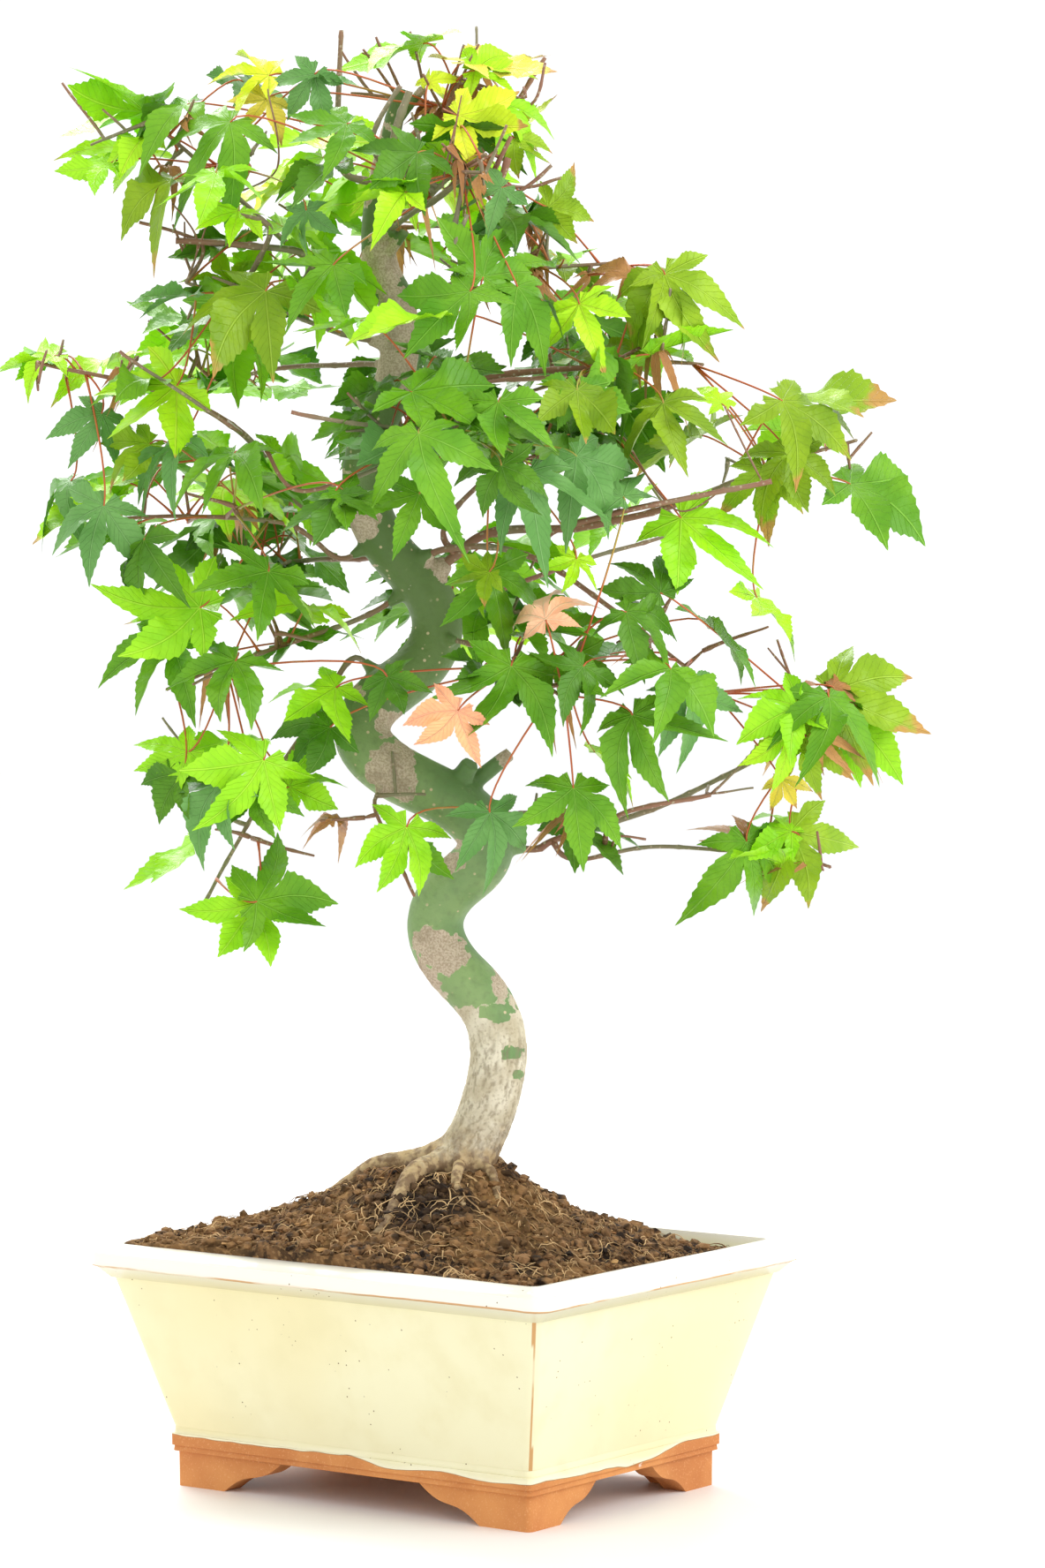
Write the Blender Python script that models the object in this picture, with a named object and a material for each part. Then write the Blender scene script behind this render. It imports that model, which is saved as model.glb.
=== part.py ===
"""Potted maple bonsai: a glazed pot on four bracket feet, its mound of soil, a trunk with five
bends and surface roots, tapering boughs, and the masses of foliage that they carry.

Metres, +Z up, ground at z = 0. The pot's long side runs along X. The tree is laid out in its
own front view, as (across, away, up) from the pot's middle, and then turned by TREE_TURN.
"""

import math
import random
from typing import NamedTuple

import bmesh
import bpy
from mathutils import Matrix, Vector
from mathutils.bvhtree import BVHTree

NAME = "maple_bonsai"
GAP = 0.0003
WELD = 0.000001
FLAT_ANGLE, SHARP_ANGLE = math.radians(0.5), math.radians(50)
TREE_TURN = math.radians(35.7)

# Pot
RIM_LENGTH, RIM_WIDTH = 0.186, 0.152
FOOT_LENGTH, FOOT_WIDTH = 0.145, 0.106
POT_HEIGHT = 0.082
FOOT_HEIGHT = 0.0115
NECK_HEIGHT, BELT_LOW, BELT_HIGH, BELT_TOP = 0.0119, 0.0138, 0.0178, 0.0200
NECK_BULGE, BELT_BULGE = 0.0014, 0.0035
LIP_WIDTH, LIP_DROP, LIP_FACE = 0.0075, 0.0025, 0.0045
LIP_ROUND, LIP_ROUND_UP = 0.0008, 0.0012
RIM_EDGE, RIM_EDGE_DROP, RIM_EDGE_DEPTH = 0.0015, 0.0003, 0.0010
LIP_UNDERCUT, LIP_OVERHANG = 0.0710, 0.0055
LIP_CORNER, BODY_CORNER, FOOT_CORNER = 0.0060, 0.0035, 0.0020
CORNER_STEPS = 3
POT_FLOOR = 0.0170
POT_WALL = 0.0065
FOOT_WALL = 0.0090
UNDERSIDE_RECESS = 0.0010
FOOT_FLAT_LONG, FOOT_FLAT_SHORT = 0.0200, 0.0170
OGEE_LONG, OGEE_SHORT = 0.0240, 0.0200
OGEE_STEPS, OGEE_LEDGE = 6, 0.10
CUTTER_REACH = 1.5
DRAIN_RADIUS, DRAIN_SPACING, DRAIN_DEPTH, DRAIN_SIDES = 0.0070, 0.0600, 0.0200, 16

# Soil, in the tree's front view
MOUND_ACROSS, MOUND_AWAY = -0.001, 0.0
SOIL_LEVEL, SOIL_TILT = 0.0770, 0.030
MOUND_RISE, MOUND_SPREAD, MOUND_POWER = 0.041, 0.046, 1.4
PLATEAU = 0.1060
CLOD_HEIGHT = 0.0011
EDGE_ROUNDS, SOIL_CORNER = 3, 0.0018
SOIL_SIDES = 32
SOIL_RINGS = (0.92, 0.80, 0.67, 0.55, 0.43, 0.32, 0.21)

# Trunk: each corner of its bends as (across, away, up), and its radius at some heights
TRUNK_CORNERS = (
    (0.001, 0.000, 0.100),
    (0.030, -0.006, 0.148),
    (-0.014, 0.012, 0.187),
    (0.026, -0.006, 0.219),
    (-0.042, -0.010, 0.250),
    (0.009, 0.014, 0.284),
    (-0.035, -0.002, 0.328),
    (-0.009, -0.010, 0.382),
    (-0.028, 0.006, 0.417),
    (-0.014, 0.000, 0.464),
)
TRUNK_RADII = (
    (0.100, 0.0115),
    (0.118, 0.0095),
    (0.250, 0.0094),
    (0.345, 0.0070),
    (0.410, 0.0058),
    (0.464, 0.0026),
)
TRUNK_STEPS = 5

# Surface roots: direction in the front view in degrees, length, and radius
ROOTS = (
    (172, 0.044, 0.0042),
    (-132, 0.047, 0.0036),
    (-84, 0.026, 0.0024),
    (-48, 0.022, 0.0026),
    (118, 0.034, 0.0034),
    (38, 0.026, 0.0030),
)
ROOT_START_HEIGHT, ROOT_START_OUT, ROOT_ARCH, ROOT_SINK = 0.0085, 0.0060, 0.0045, 0.0030
ROOT_BEND, ROOT_WAVES, ROOT_STEPS = 0.25, 2.2, 5
ROOT_THICK, ROOT_TAPER = 1.15, 0.70

# Limbs
TRUNK_SIDES, BOUGH_SIDES, ROOT_SIDES, COLLAR_SIDES = 10, 6, 6, 5
LIMB_STEPS = 3
LIMB_LEAD, LIMB_RUN_OUT, STEM_REACH, STEM_DIP = 0.0020, 0.0050, 0.55, 0.10
COLLAR_LENGTH, COLLAR_FLARE, COLLAR_FOOT, BEND_ROOM = 0.0022, 1.25, 0.0006, 0.0004
BOUGH_END_RADIUS, BOUGH_END_SHARE, SHOOT_TAPER = 0.0011, 0.55, 0.45
SHORTEST_BOUGH = 0.0080
CLEARANCE, CLEARANCE_SIDES = 0.0017, 8

# Foliage rule
SEED = 41
LEAVES_PER_AREA = 2500.0
SHOOTS_PER_LEAF, SHOOT_DEPTH, SHOOT_NARROWING = 0.22, (0.30, 0.45), 0.80
STEM_TAPER = 0.35
SPREAD_TOP, SPREAD_BOTTOM = 0.95, -0.50
JOINT_SPACING = 0.0034
LEAF_LENGTH = (0.0255, 0.0325)
LEAF_LOBES = ((0, 1.00), (48, 0.92), (101, 0.64))
LEAF_NOTCHES = ((24, 0.48), (75, 0.42))
LEAF_SAG = 0.22
LEAF_OUTWARD, LEAF_LIFT = 0.35, 20
LEAF_TRIES = 160
LEAF_DEPTH, DEPTH_LOSS, LEAF_BALANCE = (0.80, 0.95), 0.74, 0.40
LEAF_DROOP, LEAF_SPREAD, LEAF_ROLL = (-4, 64), 1.6, 0.55
STALK_TURN, SHORTEST_STALK = -0.45, 0.005
STEM_RADIUS, SHOOT_RADIUS, STALK_RADIUS, HEEL_RADIUS = 0.0016, 0.0013, 0.00045, 0.0006
GOLDEN_ANGLE = math.pi * (3 - math.sqrt(5))


class Mass(NamedTuple):
    """A mass of foliage: where its limb starts, the limb's corners, and the space that it keeps to."""

    name: str
    carrier: str
    start: float
    radius: float
    via: tuple
    centre: tuple
    reach: tuple


# The carrier is the trunk, with the height at which the limb leaves it, or another mass's bough,
# with the share of its length. Places are (across, away, up) and reaches are half sizes.
MASSES = (
    Mass("top", "trunk", 0.444, 0.0016, (), (-0.002, 0.004, 0.454), (0.045, 0.046, 0.032)),
    Mass(
        "top_left", "trunk", 0.407, 0.0021,
        ((-0.050, 0.000, 0.410),), (-0.080, -0.008, 0.440), (0.052, 0.044, 0.032),
    ),
    Mass("top_front", "trunk", 0.416, 0.0018, (), (0.004, -0.044, 0.434), (0.042, 0.040, 0.030)),
    Mass("top_back", "trunk", 0.402, 0.0020, (), (-0.024, 0.056, 0.424), (0.052, 0.044, 0.036)),
    Mass("top_right", "trunk", 0.394, 0.0017, (), (0.034, 0.004, 0.406), (0.040, 0.044, 0.034)),
    Mass(
        "upper_right", "trunk", 0.364, 0.0026,
        ((0.002, -0.002, 0.368),), (0.060, -0.010, 0.374), (0.046, 0.050, 0.034),
    ),
    Mass("upper_left", "trunk", 0.380, 0.0017, (), (-0.062, -0.016, 0.394), (0.046, 0.046, 0.030)),
    Mass("upper_back", "trunk", 0.368, 0.0019, (), (0.044, 0.058, 0.372), (0.046, 0.044, 0.034)),
    Mass(
        "far_left", "trunk", 0.327, 0.0026, ((-0.052, -0.002, 0.330), (-0.068, -0.006, 0.356)),
        (-0.112, -0.014, 0.370), (0.042, 0.040, 0.028),
    ),
    Mass(
        "mid_left", "trunk", 0.316, 0.0016,
        ((-0.050, -0.008, 0.322),), (-0.084, -0.014, 0.324), (0.058, 0.048, 0.032),
    ),
    Mass("mid_front", "trunk", 0.342, 0.0018, (), (-0.002, -0.050, 0.350), (0.046, 0.042, 0.033)),
    Mass(
        "mid_right", "trunk", 0.301, 0.0030, ((0.014, 0.000, 0.320), (0.057, -0.002, 0.319)),
        (0.108, -0.004, 0.340), (0.058, 0.048, 0.030),
    ),
    Mass(
        "mid_inner", "mid_right", 0.20, 0.0016,
        ((0.014, -0.004, 0.338),), (0.038, -0.014, 0.346), (0.042, 0.048, 0.036),
    ),
    Mass("mid_back", "trunk", 0.348, 0.0020, (), (-0.008, 0.060, 0.350), (0.050, 0.046, 0.038)),
    Mass(
        "mid_back_left", "trunk", 0.372, 0.0018,
        (), (-0.072, 0.056, 0.372), (0.044, 0.044, 0.034),
    ),
    Mass("low_left", "trunk", 0.302, 0.0017, (), (-0.068, -0.008, 0.277), (0.047, 0.048, 0.034)),
    Mass(
        "lowest_left", "trunk", 0.266, 0.0018,
        ((-0.040, -0.004, 0.262),), (-0.066, -0.010, 0.222), (0.040, 0.038, 0.050),
    ),
    Mass("low_front", "trunk", 0.282, 0.0016, (), (0.030, -0.044, 0.272), (0.033, 0.040, 0.032)),
    Mass(
        "low_right", "trunk", 0.306, 0.0021,
        ((0.028, -0.012, 0.313),), (0.070, -0.006, 0.282), (0.054, 0.046, 0.032),
    ),
    Mass(
        "far_right", "trunk", 0.215, 0.0021, ((0.034, 0.000, 0.216), (0.074, -0.002, 0.226)),
        (0.121, -0.004, 0.254), (0.043, 0.044, 0.032),
    ),
    Mass(
        "hanging_right", "far_right", 0.45, 0.0013,
        ((0.068, -0.006, 0.215),), (0.110, -0.006, 0.212), (0.032, 0.034, 0.034),
    ),
    Mass("low_centre", "trunk", 0.222, 0.0013, (), (0.038, -0.016, 0.222), (0.032, 0.036, 0.033)),
    Mass("low_small", "trunk", 0.240, 0.0012, (), (-0.018, -0.028, 0.218), (0.032, 0.036, 0.034)),
    Mass("low_back", "trunk", 0.288, 0.0019, (), (0.012, 0.056, 0.288), (0.050, 0.044, 0.034)),
    Mass(
        "low_back_left", "trunk", 0.312, 0.0018,
        (), (-0.062, 0.054, 0.308), (0.042, 0.042, 0.033),
    ),
    Mass(
        "low_back_right", "trunk", 0.290, 0.0018,
        (), (0.070, 0.052, 0.316), (0.042, 0.040, 0.031),
    ),
)

# Bare shoots, by the height at which they leave the trunk, radius and corners
BARE_SHOOTS = (
    ("shoot_leader", 0.433, 0.0013, ((-0.036, -0.004, 0.446), (-0.034, -0.004, 0.483))),
    ("shoot_right", 0.424, 0.0013, ((0.010, -0.010, 0.437), (0.033, -0.004, 0.474))),
)

# Base colour and roughness of each material
LOOKS = {
    "pot": ((0.80, 0.76, 0.55), 0.22),
    "soil": ((0.060, 0.038, 0.022), 0.95),
    "trunk": ((0.235, 0.225, 0.130), 0.70),
    "bough": ((0.200, 0.120, 0.070), 0.60),
    "foliage": ((0.110, 0.300, 0.035), 0.45),
}


def clear_scene():
    for obj in list(bpy.data.objects):
        bpy.data.objects.remove(obj, do_unlink=True)


def new_collection(name):
    collection = bpy.data.collections.new(name)
    bpy.context.scene.collection.children.link(collection)
    return collection


def new_object(name, data, collection):
    obj = bpy.data.objects.new(name, data)
    collection.objects.link(obj)
    return obj


def material(name, look):
    """A Principled material with one of the looks above."""
    colour, roughness = LOOKS[look]
    made = bpy.data.materials.new(name)
    made.use_nodes = True
    shader = made.node_tree.nodes["Principled BSDF"]
    shader.inputs["Base Color"].default_value = (*colour, 1.0)
    shader.inputs["Roughness"].default_value = roughness
    shader.inputs["Metallic"].default_value = 0.0
    return made


def evaluated_mesh(obj):
    """The mesh of an object with its modifiers, or of a curve, welded where its caps are loose."""
    bpy.context.view_layer.update()
    graph = bpy.context.evaluated_depsgraph_get()
    mesh = bpy.data.meshes.new_from_object(obj.evaluated_get(graph))
    mesh.transform(obj.matrix_world)
    shape = bmesh.new()
    shape.from_mesh(mesh)
    bmesh.ops.remove_doubles(shape, verts=shape.verts, dist=WELD)
    bmesh.ops.recalc_face_normals(shape, faces=shape.faces)
    shape.to_mesh(mesh)
    shape.free()
    return mesh


def interpolate(rows, at):
    """The value at a place along rows of (place, value)."""
    for (low, low_value), (high, high_value) in zip(rows, rows[1:]):
        if at <= high:
            share = max(0.0, (at - low) / (high - low))
            return low_value + (high_value - low_value) * share
    return rows[-1][1]


# Pot


def rounded_rectangle(length, width, corner, height):
    """The points of a level rounded rectangle, counterclockwise from above."""
    points = []
    for quarter in range(4):
        side_x = 1 if quarter in (0, 3) else -1
        side_y = 1 if quarter in (0, 1) else -1
        middle = Vector((side_x * (length / 2 - corner), side_y * (width / 2 - corner), height))
        for step in range(CORNER_STEPS + 1):
            angle = math.pi / 2 * (quarter + step / CORNER_STEPS)
            points.append(middle + corner * Vector((math.cos(angle), math.sin(angle), 0)))
    return points


def loft(name, rings):
    """A closed mesh through rings of the same count of points, with both ends capped."""
    shape = bmesh.new()
    rows = [[shape.verts.new(point) for point in ring] for ring in rings]
    for low, high in zip(rows, rows[1:]):
        for index in range(len(low)):
            after = (index + 1) % len(low)
            shape.faces.new((low[index], low[after], high[after], high[index]))
    shape.faces.new(reversed(rows[0]))
    shape.faces.new(rows[-1])
    mesh = bpy.data.meshes.new(name)
    shape.to_mesh(mesh)
    shape.free()
    return mesh


def pot_inside(height):
    """Length and width of the pot's inside at a height."""
    low = Vector((FOOT_LENGTH, FOOT_WIDTH)) - 2 * Vector((POT_WALL, POT_WALL))
    high = Vector((RIM_LENGTH, RIM_WIDTH)) - 2 * Vector((LIP_WIDTH, LIP_WIDTH))
    share = (height - POT_FLOOR) / (POT_HEIGHT - POT_FLOOR)
    return low + (high - low) * share


def pot_rings():
    """The pot's rings, from the ground up its outer face, over the lip and down to the inner floor."""

    def ring(size, grown, corner, height):
        return rounded_rectangle(size[0] + 2 * grown, size[1] + 2 * grown, corner, height)

    lip_edge = POT_HEIGHT - LIP_DROP
    foot, rim = (FOOT_LENGTH, FOOT_WIDTH), (RIM_LENGTH, RIM_WIDTH)
    neck, belt = NECK_BULGE / 2, BELT_BULGE / 2
    mouth = pot_inside(POT_HEIGHT)
    return [
        ring(foot, 0.0, FOOT_CORNER, 0.0),
        ring(foot, neck, FOOT_CORNER, NECK_HEIGHT),
        ring(foot, belt, FOOT_CORNER, BELT_LOW),
        ring(foot, belt, FOOT_CORNER, BELT_HIGH),
        ring(foot, neck, BODY_CORNER, BELT_TOP),
        ring(rim, -LIP_OVERHANG, BODY_CORNER, LIP_UNDERCUT),
        ring(rim, -LIP_ROUND, LIP_CORNER, lip_edge - LIP_FACE),
        ring(rim, 0.0, LIP_CORNER, lip_edge - LIP_FACE + LIP_ROUND_UP),
        ring(rim, 0.0, LIP_CORNER, lip_edge - LIP_ROUND),
        ring(rim, -LIP_ROUND, LIP_CORNER, lip_edge + LIP_ROUND / 2),
        ring(mouth, RIM_EDGE, BODY_CORNER, POT_HEIGHT - RIM_EDGE_DROP),
        ring(mouth, 0.0, BODY_CORNER, POT_HEIGHT - RIM_EDGE_DEPTH),
        ring(pot_inside(LIP_UNDERCUT), 0.0, BODY_CORNER, LIP_UNDERCUT),
        ring(pot_inside(POT_FLOOR), 0.0, BODY_CORNER, POT_FLOOR),
    ]


def ogee_cutter(name, half_ground, slope, through, turn, collection):
    """A prism that cuts the gap between two feet: flat on top, with an ogee down to each foot."""
    side = []
    for step in range(OGEE_STEPS + 1):
        share = step / OGEE_STEPS
        rise = share + OGEE_LEDGE * math.sin(math.tau * share)
        side.append((half_ground - slope * share, FOOT_HEIGHT * rise))
    below = -FOOT_HEIGHT / 2
    outline = [(half_ground, below), *side]
    outline += [(-x, y) for x, y in reversed(outline)]
    curve = bpy.data.curves.new(name, "CURVE")
    curve.dimensions = "2D"
    curve.fill_mode = "BOTH"
    curve.extrude = through / 2
    spline = curve.splines.new("POLY")
    spline.points.add(len(outline) - 1)
    for point, (x, y) in zip(spline.points, outline):
        point.co = (x, y, 0, 1)
    spline.use_cyclic_u = True
    guide = new_object(name + "_outline", curve, collection)
    guide.matrix_world = Matrix.Rotation(turn, 4, "Z") @ Matrix.Rotation(math.pi / 2, 4, "X")
    cutter = new_object(name, evaluated_mesh(guide), collection)
    bpy.data.objects.remove(guide, do_unlink=True)
    return cutter


def box(name, size, middle, collection):
    shape = bmesh.new()
    place = Matrix.Translation(middle) @ Matrix.Diagonal((*size, 1))
    bmesh.ops.create_cube(shape, size=1.0, matrix=place)
    mesh = bpy.data.meshes.new(name)
    shape.to_mesh(mesh)
    shape.free()
    return new_object(name, mesh, collection)


def pot_cutters(collection):
    """What is cut from the pot: the gaps between its feet, the hollow under it and the drain holes."""
    recess_top = FOOT_HEIGHT + UNDERSIDE_RECESS
    recess = (FOOT_LENGTH - 2 * FOOT_WALL, FOOT_WIDTH - 2 * FOOT_WALL, 2 * recess_top)
    long_gap, short_gap = FOOT_LENGTH / 2 - FOOT_FLAT_LONG, FOOT_WIDTH / 2 - FOOT_FLAT_SHORT
    across, along = CUTTER_REACH * FOOT_WIDTH, CUTTER_REACH * FOOT_LENGTH
    cutters = [
        box("cut_underside", recess, (0, 0, 0), collection),
        ogee_cutter("cut_long_sides", long_gap, OGEE_LONG, across, 0.0, collection),
        ogee_cutter("cut_short_sides", short_gap, OGEE_SHORT, along, math.pi / 2, collection),
    ]
    for side in (-1, 1):
        low = Vector((side * DRAIN_SPACING / 2, 0, POT_FLOOR - DRAIN_DEPTH / 2))
        high = low + Vector((0, 0, DRAIN_DEPTH))
        name = f"cut_drain_{side + 1}"
        cutters.append(cone(name, low, high, DRAIN_RADIUS, DRAIN_RADIUS, DRAIN_SIDES, collection))
    for cutter in cutters:
        cutter.hide_render = True
        cutter.display_type = "WIRE"
    return cutters


def make_pot(parts, cutters):
    pot = new_object("pot", loft("pot", pot_rings()), parts)
    for cutter in pot_cutters(cutters):
        cut = pot.modifiers.new(cutter.name, "BOOLEAN")
        cut.operation = "DIFFERENCE"
        cut.object = cutter
    pot.data.materials.append(material("pot_glaze", "pot"))
    return pot


# Soil


def front_view(point):
    """A point of the pot's frame in the tree's front view."""
    return Matrix.Rotation(-TREE_TURN, 3, "Z") @ Vector(point)


def mound_height(across, away):
    """Height of the soil's surface at a place in the front view."""
    distance = math.hypot(across - MOUND_ACROSS, away - MOUND_AWAY)
    slope = MOUND_RISE * math.exp(-((distance / MOUND_SPREAD) ** MOUND_POWER))
    return min(PLATEAU, SOIL_LEVEL - SOIL_TILT * across + slope)


def soil_edge(angle):
    """Where the soil meets the pot's inside, in a direction seen from the middle."""
    direction = Vector((math.cos(angle), math.sin(angle), 0))
    height = SOIL_LEVEL
    for _ in range(EDGE_ROUNDS):
        half = pot_inside(height) / 2 - Vector((GAP, GAP)) * 1.5
        reach = min(half.x / max(abs(direction.x), WELD), half.y / max(abs(direction.y), WELD))
        point = direction * reach
        past_x = max(0.0, abs(point.x) - half.x + SOIL_CORNER)
        past_y = max(0.0, abs(point.y) - half.y + SOIL_CORNER)
        point *= 1 - max(0.0, past_x + past_y - SOIL_CORNER) / point.length
        seen = front_view(point)
        height = mound_height(seen.x, seen.y)
    return Vector((point.x, point.y, height))


def soil_mesh(name, lift=0.0):
    """The soil: a floor, walls along the pot's inside, and a lumpy mound with a flat top."""
    draws = random.Random(SEED)
    edges = [soil_edge(math.tau * index / SOIL_SIDES) for index in range(SOIL_SIDES)]
    floor = pot_inside(POT_FLOOR)
    rings = [[]]
    for edge in edges:
        level = pot_inside(edge.z)
        rings[0].append(Vector((edge.x * floor.x / level.x, edge.y * floor.y / level.y, POT_FLOOR + GAP)))
    rings.append([edge + Vector((0, 0, lift)) for edge in edges])
    for share in SOIL_RINGS:
        ring = []
        for edge in edges:
            place = Vector((edge.x, edge.y, 0)) * share
            seen = front_view(place)
            height = mound_height(seen.x, seen.y)
            clod = CLOD_HEIGHT * draws.uniform(-1, 1)
            if height < PLATEAU:
                height = min(PLATEAU, height + clod)
            ring.append(Vector((place.x, place.y, height + lift)))
        rings.append(ring)
    mesh = loft(name, rings)
    cut_into_triangles(mesh)
    return mesh


# Trunk and limbs


def smooth_path(corners, steps):
    """A path that starts and ends at the end corners and bends smoothly at the others."""
    corners = [Vector(corner) for corner in corners]
    if len(corners) == 2:
        return [corners[0].lerp(corners[1], step / steps) for step in range(steps + 1)]
    path = [corners[0]]
    for index in range(1, len(corners) - 1):
        before, corner, after = corners[index - 1 : index + 2]
        start = before if index == 1 else (before + corner) / 2
        end = after if index == len(corners) - 2 else (corner + after) / 2
        for step in range(1, steps + 1):
            share = step / steps
            path.append(start.lerp(corner, share).lerp(corner.lerp(end, share), share))
    return path


def tube(name, path, radii, sides, collection):
    """A capped round mesh along a path, as an object."""
    curve = bpy.data.curves.new(name, "CURVE")
    curve.dimensions = "3D"
    curve.bevel_depth = 1.0
    curve.use_fill_caps = True
    if sides == 3:
        curve.bevel_mode = "OBJECT"
        curve.bevel_object = bpy.data.objects["twig_profile"]
    else:
        curve.bevel_resolution = sides // 2 - 2
    spline = curve.splines.new("POLY")
    spline.points.add(len(path) - 1)
    for point, place, radius in zip(spline.points, path, radii):
        point.co = (*place, 1)
        point.radius = radius
    guide = new_object(name + "_path", curve, collection)
    made = new_object(name, evaluated_mesh(guide), collection)
    bpy.data.objects.remove(guide, do_unlink=True)
    return made


def make_twig_profile(collection):
    """The triangle that a twig's tube follows, of radius 1."""
    curve = bpy.data.curves.new("twig_profile", "CURVE")
    spline = curve.splines.new("POLY")
    spline.points.add(2)
    for index, point in enumerate(spline.points):
        angle = math.tau * index / 3
        point.co = (math.cos(angle), math.sin(angle), 0, 1)
    spline.use_cyclic_u = True
    profile = new_object("twig_profile", curve, collection)
    profile.hide_render = True
    profile.display_type = "WIRE"


def cone(name, start, end, start_radius, end_radius, sides, collection):
    """A straight tapering piece from one point to another."""
    run = end - start
    place = Matrix.Translation((start + end) / 2) @ run.to_track_quat("Z", "X").to_matrix().to_4x4()
    shape = bmesh.new()
    bmesh.ops.create_cone(
        shape,
        cap_ends=True,
        segments=sides,
        radius1=start_radius,
        radius2=end_radius,
        depth=run.length,
        matrix=place,
    )
    mesh = bpy.data.meshes.new(name)
    shape.to_mesh(mesh)
    shape.free()
    return new_object(name, mesh, collection)


def fuse(base, others, solver="EXACT"):
    """Unite an object with a collection's objects into one solid, and remove those objects."""
    for piece in [base, *others.objects]:
        cut_into_triangles(piece.data)
    union = base.modifiers.new("fuse", "BOOLEAN")
    union.operation = "UNION"
    union.operand_type = "COLLECTION"
    union.collection = others
    union.solver = solver
    mesh = evaluated_mesh(base)
    base.modifiers.clear()
    base.data = mesh
    for obj in list(others.objects):
        bpy.data.objects.remove(obj, do_unlink=True)
    keep_largest(mesh)


def cut_into_triangles(mesh):
    shape = bmesh.new()
    shape.from_mesh(mesh)
    bmesh.ops.triangulate(shape, faces=shape.faces)
    shape.to_mesh(mesh)
    shape.free()


def keep_largest(mesh):
    """Drop every piece of a mesh but the one with the most faces."""
    shape = bmesh.new()
    shape.from_mesh(mesh)
    left = set(shape.faces)
    pieces = []
    while left:
        piece = {left.pop()}
        edge_of_piece = set(piece)
        while edge_of_piece:
            face = edge_of_piece.pop()
            linked = {near for edge in face.edges for near in edge.link_faces} & left
            left -= linked
            piece |= linked
            edge_of_piece |= linked
        pieces.append(piece)
    pieces.sort(key=len)
    scraps = [face for piece in pieces[:-1] for face in piece]
    bmesh.ops.delete(shape, geom=scraps, context="FACES")
    bmesh.ops.dissolve_limit(shape, angle_limit=FLAT_ANGLE, verts=shape.verts, edges=shape.edges)
    bmesh.ops.triangulate(shape, faces=shape.faces)
    shape.to_mesh(mesh)
    shape.free()


def trunk_path():
    return smooth_path(TRUNK_CORNERS, TRUNK_STEPS)


def trunk_at(height):
    """The trunk's middle, direction and radius at a height."""
    path = trunk_path()
    for low, high in zip(path, path[1:]):
        if low.z <= height <= high.z:
            middle = low.lerp(high, (height - low.z) / (high.z - low.z))
            return middle, (high - low).normalized(), interpolate(TRUNK_RADII, height)
    raise ValueError(f"no trunk at height {height}")


def root_path(direction, length):
    """A root's path from inside the trunk's foot down the mound, sinking in at its end."""
    foot, _, _ = trunk_at(PLATEAU)
    turn = math.radians(direction)
    path = [foot + Vector((0, 0, ROOT_START_HEIGHT))]
    for step in range(1, ROOT_STEPS + 1):
        share = step / ROOT_STEPS
        bend = ROOT_BEND * math.sin(ROOT_WAVES * share + direction)
        out = ROOT_START_OUT + length * share
        across = foot.x + out * math.cos(turn + bend * share)
        away = foot.y + out * math.sin(turn + bend * share)
        above = ROOT_ARCH * (1 - share) ** 2 - ROOT_SINK * share**2
        path.append(Vector((across, away, mound_height(across, away) + above)))
    return path


def limb_start(middle, along, radius, towards):
    """The point on a limb's side that faces a target, and the direction out of it."""
    out = Vector(towards) - middle
    out = (out - out.dot(along) * along).normalized()
    return middle + out * radius, out


class Limb(NamedTuple):
    """A bough's path and radii up to its mass, and the stem's path on from there."""

    bough: list
    radii: list
    stem: list
    collar: tuple


def smooth_limb(mass, start, out):
    """A limb's path from its collar by its corners to its mass's middle and on to its far side."""
    centre = Vector(mass.centre)
    lead = start + out * LIMB_LEAD
    corners = [lead, lead + out * LIMB_RUN_OUT, *map(Vector, mass.via), centre]
    heading = (centre - corners[-2]).normalized()
    beyond = heading * STEM_REACH * support(mass.reach, heading)
    dip = Vector((0, 0, STEM_DIP * mass.reach[2]))
    return [start, *smooth_path([*corners, centre + beyond - dip], LIMB_STEPS)]


def support(reach, direction):
    """Half an ellipsoid's extent along a direction."""
    return math.sqrt(sum((half * part) ** 2 for half, part in zip(reach, direction)))


class Space:
    """The space of one mass: its ellipsoid, cut by a plane before each other mass."""

    def __init__(self, mass, masses):
        self.centre = Vector(mass.centre)
        self.reach = Vector(mass.reach)
        self.planes = []
        for other in masses:
            if other is mass:
                continue
            towards = Vector(other.centre) - self.centre
            distance = towards.length
            towards.normalize()
            own, others = support(mass.reach, towards), support(other.reach, towards)
            self.planes.append((towards, distance * own / (own + others) - GAP))

    def holds(self, point):
        offset = point - self.centre
        if sum((part / half) ** 2 for part, half in zip(offset, self.reach)) > 1:
            return False
        return all(offset.dot(normal) < limit for normal, limit in self.planes)


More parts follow.
